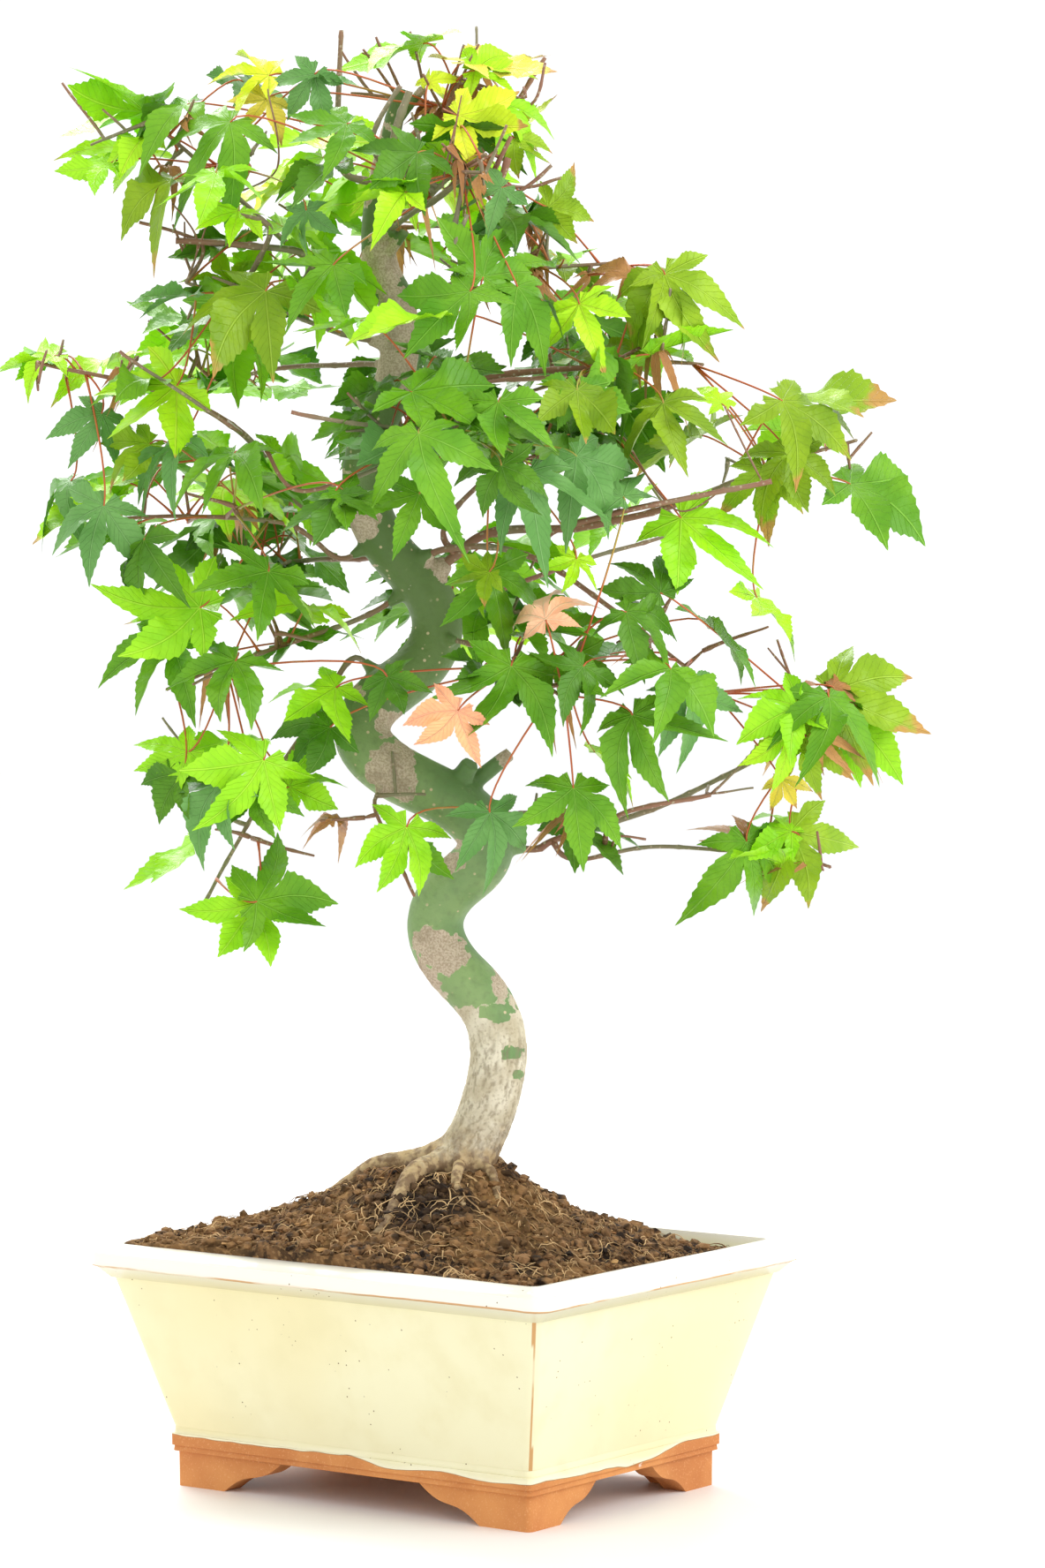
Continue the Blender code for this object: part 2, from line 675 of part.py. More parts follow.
def plan_limb(mass, space, limbs):
    """Where a mass's bough and stem run, with the collar that the bough leaves its carrier at."""
    if mass.carrier == "trunk":
        middle, along, radius = trunk_at(mass.start)
    else:
        parent = limbs[mass.carrier]
        index = max(1, round(mass.start * (len(parent.bough) - 1)))
        middle, radius = parent.bough[index], parent.radii[index]
        along = (parent.bough[index] - parent.bough[index - 1]).normalized()
    aim = mass.via[0] if mass.via else mass.centre
    side, out = limb_start(middle, along, radius, aim)
    collar_length = COLLAR_LENGTH if mass.carrier == "trunk" else BEND_ROOM
    collar_end = side + out * collar_length
    path = smooth_limb(mass, collar_end + out * GAP, out)
    width = COLLAR_FLARE * mass.radius
    collar = (middle, collar_end, width + COLLAR_FOOT, width)
    entry = next(index for index, point in enumerate(path) if space.holds(point))
    if (path[entry] - path[0]).length < SHORTEST_BOUGH:
        return Limb([], [], path, collar)
    entry = min(entry + 1, len(path) - 2)
    bough, stem = path[: entry + 1], path[entry:]
    end_radius = max(BOUGH_END_RADIUS, BOUGH_END_SHARE * mass.radius)
    radii = [mass.radius + (end_radius - mass.radius) * index / entry for index in range(entry + 1)]
    along = (bough[-1] - bough[-2]).normalized()
    stem = [stem[0] + along * GAP, stem[0] + along * LIMB_LEAD, *stem[1:]]
    return Limb(bough, radii, stem, collar)


def make_trunk(limbs, parts, scratch):
    """The trunk with its roots and collars fused on, cut flat where it stands in the soil."""
    path = trunk_path()
    radii = [interpolate(TRUNK_RADII, point.z) for point in path]
    trunk = tube("trunk", path, radii, TRUNK_SIDES, parts)
    for direction, length, radius in ROOTS:
        course = root_path(direction, length)
        widths = [radius * (ROOT_THICK - ROOT_TAPER * index / ROOT_STEPS) for index in range(len(course))]
        tube(f"root_{direction}", course, widths, ROOT_SIDES, scratch)
    for mass in MASSES:
        if mass.carrier == "trunk":
            middle, end, wide, narrow = limbs[mass.name].collar
            cone(f"collar_{mass.name}", middle, end, wide, narrow, COLLAR_SIDES, scratch)
    for name, height, radius, corners in BARE_SHOOTS:
        middle, end = bare_collar(height, corners)
        width = COLLAR_FLARE * radius
        cone(f"collar_{name}", middle, end, width, width, COLLAR_SIDES, scratch)
    fuse(trunk, scratch)
    trunk.data.transform(Matrix.Rotation(TREE_TURN, 4, "Z"))
    raised = new_object("raised_soil", soil_mesh("raised_soil", lift=GAP), scratch)
    cut = trunk.modifiers.new("soil", "BOOLEAN")
    cut.operation = "DIFFERENCE"
    cut.object = raised
    trunk.data = evaluated_mesh(trunk)
    trunk.modifiers.clear()
    bpy.data.objects.remove(raised, do_unlink=True)
    keep_largest(trunk.data)
    trunk.data.materials.append(material("bark", "trunk"))
    return trunk


def bare_collar(height, corners):
    middle, along, radius = trunk_at(height)
    side, out = limb_start(middle, along, radius, corners[0])
    return middle, side + out * COLLAR_LENGTH


def make_boughs(limbs, parts):
    """One tapering solid for each bough and each bare shoot."""
    boughs = []
    for name, limb in limbs.items():
        if limb.bough:
            boughs.append(tube(f"bough_{name}", limb.bough, limb.radii, BOUGH_SIDES, parts))
    for name, height, radius, corners in BARE_SHOOTS:
        middle, end = bare_collar(height, corners)
        out = (end - middle).normalized()
        lead = end + out * LIMB_LEAD
        path = [end + out * GAP, *smooth_path([lead, lead + out * LIMB_RUN_OUT, *corners], LIMB_STEPS)]
        radii = [radius * (1 - SHOOT_TAPER * index / len(path)) for index in range(len(path))]
        boughs.append(tube(name, path, radii, BOUGH_SIDES, parts))
    return boughs


# Foliage


class Leaf(NamedTuple):
    base: Vector
    forward: Vector
    normal: Vector
    length: float


class Twig(NamedTuple):
    start: Vector
    end: Vector
    start_radius: float
    end_radius: float


def leaf_outline():
    """The leaf's outline as (angle, share of its length), from lobe to lobe over its tip."""
    half = sorted(LEAF_LOBES[1:] + LEAF_NOTCHES)
    right = [(-angle, share) for angle, share in reversed(half)]
    return [*right, LEAF_LOBES[0], *half]


def leaf_points(leaf):
    """The points round a leaf's edge and then the three of its heel, where the stalk ends."""
    across = leaf.normal.cross(leaf.forward)
    points = []
    for angle, share in leaf_outline():
        turn = math.radians(angle)
        flat = leaf.forward * math.cos(turn) + across * math.sin(turn)
        sag = leaf.normal * LEAF_SAG * share * share
        points.append(leaf.base + (flat * share - sag) * leaf.length)
    return points + stalk_ring(leaf.base, -leaf.forward, leaf.normal, HEEL_RADIUS)


def leaf_faces():
    """The triangles of a blade: a fan from the top of its heel, and one from its two lower points."""
    last = len(leaf_outline()) - 1
    tip = last // 2
    top, left, right = last + 1, last + 2, last + 3
    faces = [(top, right, 0), (top, last, left), (right, left, tip)]
    for here in range(last):
        faces.append((top, here, here + 1))
        faces.append((right if here < tip else left, here + 1, here))
    return faces


def stalk_ring(middle, along, up, radius):
    """The three points of a stalk's section, the first one on its upper side."""
    up = (up - up.dot(along) * along).normalized()
    side = along.cross(up)
    turns = (0, math.tau / 3, -math.tau / 3)
    return [middle + radius * (up * math.cos(turn) + side * math.sin(turn)) for turn in turns]


def leaf_mesh(leaf, root):
    """A blade whose heel runs on into a three-sided stalk, back to its root in a twig."""
    points = leaf_points(leaf)
    heel = len(points) - 3
    points += stalk_ring(root, (root - leaf.base).normalized(), leaf.normal, STALK_RADIUS)
    faces = [*leaf_faces(), (heel + 3, heel + 4, heel + 5)]
    for corner in range(3):
        after = (corner + 1) % 3
        faces.append((heel + corner, heel + after, heel + 3 + after, heel + 3 + corner))
    mesh = bpy.data.meshes.new("leaf")
    mesh.from_pydata(points, [], faces)
    shape = bmesh.new()
    shape.from_mesh(mesh)
    bmesh.ops.recalc_face_normals(shape, faces=shape.faces)
    shape.to_mesh(mesh)
    shape.free()
    return mesh


def spread_directions(count, draws):
    """Directions spread evenly over all but the underside of a sphere, from a random turn."""
    turn = draws.uniform(0, math.tau)
    directions = []
    for index in range(count):
        height = SPREAD_TOP + (SPREAD_BOTTOM - SPREAD_TOP) * (index + 0.5) / count
        level = math.sqrt(max(0.0, 1 - height * height))
        angle = turn + index * GOLDEN_ANGLE
        directions.append(Vector((level * math.cos(angle), level * math.sin(angle), height)))
    return directions


def draw_leaf(centre, reach, direction, depth, draws):
    """A leaf whose blade is centred in a direction from a mass's middle, turned outwards and drooping."""
    middle = centre + Vector([half * part * depth for half, part in zip(reach, direction)])
    outward = Vector((centre.x, centre.y, 0)).normalized()
    heading = Vector((direction.x, direction.y, 0)) + outward * LEAF_OUTWARD
    heading = Matrix.Rotation(draws.uniform(-LEAF_SPREAD, LEAF_SPREAD), 3, "Z") @ heading.normalized()
    droop = math.radians(draws.uniform(*LEAF_DROOP) - LEAF_LIFT * max(0.0, direction.z))
    forward = heading * math.cos(droop) - Vector((0, 0, math.sin(droop)))
    normal = heading * math.sin(droop) + Vector((0, 0, math.cos(droop)))
    normal = Matrix.Rotation(draws.uniform(-LEAF_ROLL, LEAF_ROLL), 3, forward) @ normal
    length = draws.uniform(*LEAF_LENGTH)
    return Leaf(middle - forward * length * LEAF_BALANCE, forward, normal, length)


def clear_way(start, end, trees):
    """Whether a straight twig passes no limb and no leaf."""
    run = end - start
    return all(tree.ray_cast(start, run.normalized(), run.length)[0] is None for tree in trees)


def grow_foliage(mass, index, stem, space, limb_tree):
    """The twigs and leaves of a mass, by a seeded rule from its stem."""
    draws = random.Random(SEED + index)
    centre, reach = Vector(mass.centre), mass.reach
    area = reach[0] * reach[1] + reach[0] * reach[2] + reach[1] * reach[2]
    count = max(4, round(LEAVES_PER_AREA * area))
    joints = [point for point in spaced_points(stem) if space.holds(point)]
    twigs, leaves, leaf_trees = [], [], []
    ways = list(zip(stem, stem[1:]))
    for direction in spread_directions(max(1, round(count * SHOOTS_PER_LEAF)), draws):
        depth = draws.uniform(*SHOOT_DEPTH)
        tip = centre + Vector([half * part * depth for half, part in zip(reach, direction)])
        start = min(joints, key=lambda joint: (joint - tip).length)
        if space.holds(tip) and (tip - start).length > JOINT_SPACING and clear_way(start, tip, [limb_tree]):
            twigs.append(Twig(start, tip, SHOOT_RADIUS, SHOOT_RADIUS * SHOOT_NARROWING))
            joints.remove(start)
            joints += spaced_points([start, tip])
            ways.append((start, tip))
    for direction in spread_directions(count, draws):
        for attempt in range(LEAF_TRIES):
            depth = draws.uniform(*LEAF_DEPTH) * (1 - DEPTH_LOSS * attempt / LEAF_TRIES)
            leaf = draw_leaf(centre, reach, direction, depth, draws)
            points = leaf_points(leaf)
            if not all(space.holds(point) for point in points):
                continue
            tree = BVHTree.FromPolygons(points, leaf_faces())
            if tree.overlap(limb_tree) or any(tree.overlap(other) for other in leaf_trees):
                continue
            if not all(clear_way(start, end, [tree]) for start, end in ways):
                continue
            joint = nearest_behind(leaf, joints)
            if joint is None or not clear_way(joint, leaf.base, [limb_tree, *leaf_trees]):
                continue
            joints.remove(joint)
            ways.append((joint, leaf.base))
            leaves.append((leaf, joint))
            leaf_trees.append(tree)
            break
    return twigs, leaves


def nearest_behind(leaf, joints):
    """The nearest joint that lies behind a leaf, so that its stalk runs straight on from its blade."""
    behind = []
    for joint in joints:
        run = joint - leaf.base
        if run.length > SHORTEST_STALK and run.normalized().dot(leaf.forward) < STALK_TURN:
            behind.append(joint)
    return min(behind, key=lambda joint: (joint - leaf.base).length, default=None)


def spaced_points(path):
    """Points along a path at the spacing of its leaf joints, from one spacing in up to its end."""
    points = []
    left = JOINT_SPACING
    for start, end in zip(path, path[1:]):
        run = end - start
        travelled = left
        while travelled <= run.length:
            points.append(start + run * (travelled / run.length))
            travelled += JOINT_SPACING
        left = travelled - run.length
    return points


def clear_surface(path, radii):
    """The points and faces round a limb, wider than it by the clearance that foliage keeps."""
    points, faces = [], []
    last = len(path) - 1
    for index, point in enumerate(path):
        along = (path[min(index + 1, last)] - path[max(index - 1, 0)]).normalized()
        side = along.orthogonal().normalized() * (radii[index] + CLEARANCE)
        for corner in range(CLEARANCE_SIDES):
            points.append(point + Matrix.Rotation(math.tau * corner / CLEARANCE_SIDES, 3, along) @ side)
    for first in range(0, last * CLEARANCE_SIDES, CLEARANCE_SIDES):
        for corner in range(CLEARANCE_SIDES):
            here, after = first + corner, first + (corner + 1) % CLEARANCE_SIDES
            faces.append((here, after, after + CLEARANCE_SIDES, here + CLEARANCE_SIDES))
    return points, faces


def limb_surface(limbs):
    """The trunk, the boughs and the bare shoots as one surface that foliage stays outside."""
    path = trunk_path()
    courses = [(path, [interpolate(TRUNK_RADII, point.z) for point in path])]
    for limb in limbs.values():
        if limb.bough:
            courses.append(([*limb.bough, limb.stem[1]], [*limb.radii, limb.radii[-1]]))
    for _, _, radius, corners in BARE_SHOOTS:
        path = smooth_path(corners, LIMB_STEPS)
        courses.append((path, [radius] * len(path)))
    points, faces = [], []
    for path, radii in courses:
        first = len(points)
        more_points, more_faces = clear_surface(path, radii)
        points += more_points
        faces += [[first + corner for corner in face] for face in more_faces]
    return BVHTree.FromPolygons(points, faces)


def make_foliage(limbs, spaces, parts, scratch):
    """One solid for each mass: its stem, twigs and leaves fused."""
    limb_tree = limb_surface(limbs)
    masses = []
    for index, mass in enumerate(MASSES):
        stem = limbs[mass.name].stem
        twigs, leaves = grow_foliage(mass, index, stem, spaces[mass.name], limb_tree)
        radii = [STEM_RADIUS * (1 - STEM_TAPER * place / len(stem)) for place in range(len(stem))]
        foliage = tube(f"foliage_{mass.name}", stem, radii, 3, parts)
        for twig in twigs:
            cone("twig", twig.start, twig.end, twig.start_radius, twig.end_radius, 3, scratch)
        for leaf, root in leaves:
            new_object("leaf", leaf_mesh(leaf, root), scratch)
        fuse(foliage, scratch, solver="MANIFOLD")
        foliage.data.materials.clear()
        foliage.data.materials.append(material(f"leaves_{mass.name}", "foliage"))
        masses.append(foliage)
    return masses


def smooth_round(obj):
    """Shade a round piece smooth but for its sharp edges."""
    obj.data.shade_smooth()
    obj.data.set_sharp_from_angle(angle=SHARP_ANGLE)


def centre_on_box(parts, cutters):
    """Stand everything with the middle of the whole plant's box over the origin."""
    points = []
    for obj in parts.objects:
        mesh = evaluated_mesh(obj)
        points += [vertex.co.copy() for vertex in mesh.vertices]
        bpy.data.meshes.remove(mesh)
    middle_x = (min(point.x for point in points) + max(point.x for point in points)) / 2
    middle_y = (min(point.y for point in points) + max(point.y for point in points)) / 2
    stand = bpy.data.objects.new("stand", None)
    parts.objects.link(stand)
    for obj in [*parts.objects, *cutters.objects]:
        if obj is not stand:
            obj.parent = stand
    stand.location = (-middle_x, -middle_y, 0)


def main():
    clear_scene()
    parts, cutters, scratch = new_collection(NAME), new_collection("cutters"), new_collection("scratch")
    make_twig_profile(cutters)
    make_pot(parts, cutters)
    soil = new_object("soil", soil_mesh("soil"), parts)
    soil.data.materials.append(material("soil", "soil"))
    spaces = {mass.name: Space(mass, MASSES) for mass in MASSES}
    limbs = {}
    for mass in MASSES:
        limbs[mass.name] = plan_limb(mass, spaces[mass.name], limbs)
    trunk = make_trunk(limbs, parts, scratch)
    boughs = make_boughs(limbs, parts)
    foliage = make_foliage(limbs, spaces, parts, scratch)
    for bough in boughs:
        bough.data.materials.append(material(bough.name, "bough"))
    for obj in [*boughs, *foliage]:
        obj.data.transform(Matrix.Rotation(TREE_TURN, 4, "Z"))
    for obj in [trunk, *boughs]:
        smooth_round(obj)
    centre_on_box(parts, cutters)


main()
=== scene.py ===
"""The looks of the potted maple bonsai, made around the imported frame.

The tree is laid out in its own front view, as (across, away, up) in metres from the pot's middle,
then turned by TREE_TURN and set over the pot. Limbs, spaces and most leaves follow the rule that
the solids were grown by, carried on here to finer shoots. Each mass then keeps a share of its
leaves, and those at the very front are placed one by one by the table FRONT_LEAVES.
"""

import math
import random
from typing import NamedTuple

import bmesh
import bpy
from mathutils import Matrix, Vector, noise
from mathutils.bvhtree import BVHTree
from mathutils.kdtree import KDTree


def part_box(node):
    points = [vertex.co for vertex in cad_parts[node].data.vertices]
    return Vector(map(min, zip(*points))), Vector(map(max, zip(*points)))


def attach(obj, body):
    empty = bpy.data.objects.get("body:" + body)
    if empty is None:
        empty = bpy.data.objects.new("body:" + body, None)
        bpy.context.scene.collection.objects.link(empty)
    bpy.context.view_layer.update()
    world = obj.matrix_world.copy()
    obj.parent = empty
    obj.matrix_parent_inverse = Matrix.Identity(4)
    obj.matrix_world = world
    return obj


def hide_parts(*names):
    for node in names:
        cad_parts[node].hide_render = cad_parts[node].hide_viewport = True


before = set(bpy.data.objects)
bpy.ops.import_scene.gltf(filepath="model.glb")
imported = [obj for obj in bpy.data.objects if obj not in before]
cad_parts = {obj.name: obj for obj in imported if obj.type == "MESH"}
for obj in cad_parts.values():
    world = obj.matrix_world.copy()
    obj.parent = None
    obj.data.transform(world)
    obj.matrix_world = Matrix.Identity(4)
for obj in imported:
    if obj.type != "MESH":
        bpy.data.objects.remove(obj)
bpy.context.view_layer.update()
BODY = "root"
MILLIMETRES = 1000

# Shared sizes of the solids
GAP = 0.0003
TREE_TURN = math.radians(35.7)
RIM_LENGTH, RIM_WIDTH = 0.186, 0.152
FOOT_LENGTH, FOOT_WIDTH = 0.145, 0.106
POT_HEIGHT = 0.082
FOOT_HEIGHT = 0.0115
NECK_HEIGHT, BELT_LOW, BELT_HIGH, BELT_TOP = 0.0119, 0.0138, 0.0178, 0.0200
NECK_BULGE, BELT_BULGE = 0.0014, 0.0035
LIP_WIDTH, LIP_DROP, LIP_FACE = 0.0075, 0.0025, 0.0045
LIP_UNDERCUT, LIP_OVERHANG = 0.0710, 0.0055
LIP_CORNER, BODY_CORNER, FOOT_CORNER = 0.0060, 0.0035, 0.0020
POT_FLOOR, POT_WALL, FOOT_WALL = 0.0170, 0.0065, 0.0090
FOOT_FLAT_LONG, FOOT_FLAT_SHORT = 0.0200, 0.0170
OGEE_LONG, OGEE_SHORT, OGEE_LEDGE = 0.0240, 0.0200, 0.10

MOUND_ACROSS, MOUND_AWAY = -0.001, 0.0
SOIL_LEVEL, SOIL_TILT = 0.0770, 0.030
MOUND_RISE, MOUND_SPREAD, MOUND_POWER = 0.041, 0.046, 1.4
PLATEAU = 0.1060

TRUNK_CORNERS = (
    (0.001, 0.000, 0.100),
    (0.030, -0.006, 0.148),
    (-0.014, 0.012, 0.187),
    (0.026, -0.006, 0.219),
    (-0.042, -0.010, 0.250),
    (0.009, 0.014, 0.284),
    (-0.035, -0.002, 0.328),
    (-0.009, -0.010, 0.382),
    (-0.028, 0.006, 0.417),
    (-0.014, 0.000, 0.464),
)
TRUNK_RADII = (
    (0.100, 0.0115),
    (0.118, 0.0095),
    (0.250, 0.0094),
    (0.345, 0.0070),
    (0.410, 0.0058),
    (0.464, 0.0026),
)
TRUNK_STEPS = 5

ROOTS = (
    (172, 0.044, 0.0042),
    (-132, 0.047, 0.0036),
    (-84, 0.026, 0.0024),
    (-48, 0.022, 0.0026),
    (118, 0.034, 0.0034),
    (38, 0.026, 0.0030),
)
ROOT_START_HEIGHT, ROOT_START_OUT, ROOT_ARCH, ROOT_REST = 0.0085, 0.0060, 0.0045, 0.0006
ROOT_BEND, ROOT_WAVES = 0.25, 2.2
ROOT_THICK, ROOT_TAPER = 1.15, 0.70

LIMB_STEPS = 3
LIMB_LEAD, LIMB_RUN_OUT, STEM_REACH, STEM_DIP = 0.0020, 0.0050, 0.55, 0.10
COLLAR_LENGTH, BEND_ROOM = 0.0022, 0.0004
BOUGH_END_RADIUS, BOUGH_END_SHARE, SHOOT_TAPER = 0.0011, 0.55, 0.45
SHORTEST_BOUGH = 0.0080
CLEARANCE, CLEARANCE_SIDES = 0.0017, 8

SEED = 41
LEAF_SEED, BLADE_SEED, SOIL_SEED = SEED * 3, SEED * 5, SEED * 7
TWIG_SEED, FRONT_SEED, THINNING_SEED = SEED * 11, SEED * 13, SEED * 17
LEAVES_PER_AREA = 2500.0
SHOOTS_PER_LEAF, SHOOT_DEPTH = 0.22, (0.30, 0.45)
SPREAD_TOP, SPREAD_BOTTOM = 0.95, -0.50
JOINT_SPACING = 0.0034
LEAF_LENGTH = (0.0255, 0.0325)
LEAF_LOBES = ((0, 1.00), (48, 0.92), (101, 0.64))
LEAF_NOTCHES = ((24, 0.48), (75, 0.42))
LEAF_SAG = 0.22
LEAF_OUTWARD, LEAF_LIFT = 0.35, 20
LEAF_TRIES = 160
LEAF_DEPTH, DEPTH_LOSS, LEAF_BALANCE = (0.80, 0.95), 0.74, 0.40
LEAF_DROOP, LEAF_SPREAD, LEAF_ROLL = (-4, 64), 1.6, 0.55
STALK_TURN, SHORTEST_STALK = -0.45, 0.005
HEEL_RADIUS = 0.0006
GOLDEN_ANGLE = math.pi * (3 - math.sqrt(5))


class Mass(NamedTuple):
    """A mass of foliage: where its limb starts, the limb's corners, and the space that it keeps to."""

    name: str
    carrier: str
    start: float
    radius: float
    via: tuple
    centre: tuple
    reach: tuple


# The carrier is the trunk, with the height at which the limb leaves it, or another mass's bough,
# with the share of its length. Places are (across, away, up) and reaches are half sizes.
MASSES = (
    Mass("top", "trunk", 0.444, 0.0016, (), (-0.002, 0.004, 0.454), (0.045, 0.046, 0.032)),
    Mass(
        "top_left", "trunk", 0.407, 0.0021,
        ((-0.050, 0.000, 0.410),), (-0.080, -0.008, 0.440), (0.052, 0.044, 0.032),
    ),
    Mass("top_front", "trunk", 0.416, 0.0018, (), (0.004, -0.044, 0.434), (0.042, 0.040, 0.030)),
    Mass("top_back", "trunk", 0.402, 0.0020, (), (-0.024, 0.056, 0.424), (0.052, 0.044, 0.036)),
    Mass("top_right", "trunk", 0.394, 0.0017, (), (0.034, 0.004, 0.406), (0.040, 0.044, 0.034)),
    Mass(
        "upper_right", "trunk", 0.364, 0.0026,
        ((0.002, -0.002, 0.368),), (0.060, -0.010, 0.374), (0.046, 0.050, 0.034),
    ),
    Mass("upper_left", "trunk", 0.380, 0.0017, (), (-0.062, -0.016, 0.394), (0.046, 0.046, 0.030)),
    Mass("upper_back", "trunk", 0.368, 0.0019, (), (0.044, 0.058, 0.372), (0.046, 0.044, 0.034)),
    Mass(
        "far_left", "trunk", 0.327, 0.0026, ((-0.052, -0.002, 0.330), (-0.068, -0.006, 0.356)),
        (-0.112, -0.014, 0.370), (0.042, 0.040, 0.028),
    ),
    Mass(
        "mid_left", "trunk", 0.316, 0.0016,
        ((-0.050, -0.008, 0.322),), (-0.084, -0.014, 0.324), (0.058, 0.048, 0.032),
    ),
    Mass("mid_front", "trunk", 0.342, 0.0018, (), (-0.002, -0.050, 0.350), (0.046, 0.042, 0.033)),
    Mass(
        "mid_right", "trunk", 0.301, 0.0030, ((0.014, 0.000, 0.320), (0.057, -0.002, 0.319)),
        (0.108, -0.004, 0.340), (0.058, 0.048, 0.030),
    ),
    Mass(
        "mid_inner", "mid_right", 0.20, 0.0016,
        ((0.014, -0.004, 0.338),), (0.038, -0.014, 0.346), (0.042, 0.048, 0.036),
    ),
    Mass("mid_back", "trunk", 0.348, 0.0020, (), (-0.008, 0.060, 0.350), (0.050, 0.046, 0.038)),
    Mass(
        "mid_back_left", "trunk", 0.372, 0.0018,
        (), (-0.072, 0.056, 0.372), (0.044, 0.044, 0.034),
    ),
    Mass("low_left", "trunk", 0.302, 0.0017, (), (-0.068, -0.008, 0.277), (0.047, 0.048, 0.034)),
    Mass(
        "lowest_left", "trunk", 0.266, 0.0018,
        ((-0.040, -0.004, 0.262),), (-0.066, -0.010, 0.222), (0.040, 0.038, 0.050),
    ),
    Mass("low_front", "trunk", 0.282, 0.0016, (), (0.030, -0.044, 0.272), (0.033, 0.040, 0.032)),
    Mass(
        "low_right", "trunk", 0.306, 0.0021,
        ((0.028, -0.012, 0.313),), (0.070, -0.006, 0.282), (0.054, 0.046, 0.032),
    ),
    Mass(
        "far_right", "trunk", 0.215, 0.0021, ((0.034, 0.000, 0.216), (0.074, -0.002, 0.226)),
        (0.121, -0.004, 0.254), (0.043, 0.044, 0.032),
    ),
    Mass(
        "hanging_right", "far_right", 0.45, 0.0013,
        ((0.068, -0.006, 0.215),), (0.110, -0.006, 0.212), (0.032, 0.034, 0.034),
    ),
    Mass("low_centre", "trunk", 0.222, 0.0013, (), (0.038, -0.016, 0.222), (0.032, 0.036, 0.033)),
    Mass("low_small", "trunk", 0.240, 0.0012, (), (-0.018, -0.028, 0.218), (0.032, 0.036, 0.034)),
    Mass("low_back", "trunk", 0.288, 0.0019, (), (0.012, 0.056, 0.288), (0.050, 0.044, 0.034)),
    Mass(
        "low_back_left", "trunk", 0.312, 0.0018,
        (), (-0.062, 0.054, 0.308), (0.042, 0.042, 0.033),
    ),
    Mass(
        "low_back_right", "trunk", 0.290, 0.0018,
        (), (0.070, 0.052, 0.316), (0.042, 0.040, 0.031),
    ),
)

FOLIAGE_NODES = [f"foliage_{mass.name}" for mass in MASSES]

# Bare shoots, by the height at which they leave the trunk, radius and corners
BARE_SHOOTS = (
    ("shoot_leader", 0.433, 0.0013, ((-0.036, -0.004, 0.446), (-0.034, -0.004, 0.483))),
    ("shoot_right", 0.424, 0.0013, ((0.010, -0.010, 0.437), (0.033, -0.004, 0.474))),
)

# Finer growth, which the solids leave out
MORE_LEAVES = 0.50
MORE_LENGTH, MORE_DEPTH, MORE_TRIES = (0.0175, 0.0305), (0.25, 1.14), 40
MORE_DROOP, MORE_ROLL = (-42, 50), 0.85
NEIGHBOUR_REACH = 0.135
MORE_SHOOTS, MORE_SHOOT_DEPTH, MORE_SPACING = 0.35, (0.35, 0.75), 0.0021
SHOOT_RADIUS, TIP_RADIUS, LIMB_END_RADIUS, SHOOT_JOIN = 0.000837, 0.00040, 0.00056, 0.0022
TIP_ROUNDNESS = 0.8
NODE_SPACING, NODE_SWELL, NODE_LENGTH = 0.0130, 0.24, 0.0011
CROOK, CROOK_SCALE, CROOK_EASE = 0.0009, 45.0, 3

# Leaf: each lobe's angle from the middle one, its share of the leaf's length, and its half width
LOBES = ((0, 1.00, 0.196), (48, 0.95, 0.188), (102, 0.60, 0.132), (148, 0.26, 0.075))
SINUS = 0.23
LOBE_RISE, LOBE_FALL = 1.12, 1.40
BASE_STEPS = 3
TEETH = (9, 9, 7, 3)
TOOTH_OUT, TOOTH_BACK, TOOTH_LEAN = 0.075, 0.030, 0.40
LOBE_ANGLE_DRAW, LOBE_LENGTH_DRAW, LOBE_WIDTH_DRAW = 7.0, 0.12, 0.12
FOLD, SAG, LOBE_DROOP, LOBE_BEND = (0.10, 0.75), (-0.05, 0.18), (-0.30, 0.50), 0.55
LOBE_TWIST, TWIST_RUN = 1.1, 0.22
RIPPLE, RIPPLE_WAVES = 0.09, 26.0
HEEL_ANGLE, WIDEST_HALF = 176, 1.2
STALK_SIDES, STALK_STEPS, STALK_RADIUS, STALK_END = 5, 8, 0.00038, 0.00030
STALK_ARCH, STALK_BEND, STALK_SHARE, STALK_HEEL = (0.00, 0.10), 0.006, 0.42, 1.6

# Each tint's colours, light then deep, and how browned its lobes' tips are
TINTS = {
    # The lime and bright tints are partly the leaves' own colour and partly painted light: bright base
    # colours that stand in for light coming through the leaves
    "lime": ((0.540, 0.930, 0.018), (0.390, 0.830, 0.013), 0.10),
    "bright": ((0.400, 0.830, 0.016), (0.275, 0.690, 0.012), 0.00),
    "green": ((0.190, 0.450, 0.018), (0.110, 0.325, 0.012), 0.00),
    "deep": ((0.124, 0.310, 0.018), (0.068, 0.210, 0.010), 0.00),
    # The blue tint is painted sheen: a bluer green that stands in for the white surroundings' reflection on
    # the leaves' gloss
    "blue": ((0.181, 0.402, 0.104), (0.118, 0.312, 0.066), 0.00),
    "olive": ((0.289, 0.463, 0.013), (0.182, 0.333, 0.009), 0.45),
    "browned": ((0.357, 0.570, 0.019), (0.239, 0.426, 0.013), 1.00),
    "yellow": ((0.850, 0.950, 0.040), (0.650, 0.880, 0.022), 0.35),
    "gold": ((0.920, 0.800, 0.140), (0.800, 0.660, 0.060), 0.80),
    # The peach and salmon tints are the leaves' own colours set near full brightness, partly painted light
    # for the light shining through those leaves
    "peach": ((1.000, 0.640, 0.380), (0.920, 0.420, 0.230), 0.10),
    "salmon": ((0.960, 0.360, 0.220), (0.980, 0.560, 0.260), 0.10),
    "dead": ((0.640, 0.330, 0.110), (0.400, 0.170, 0.060), 0.30),
}
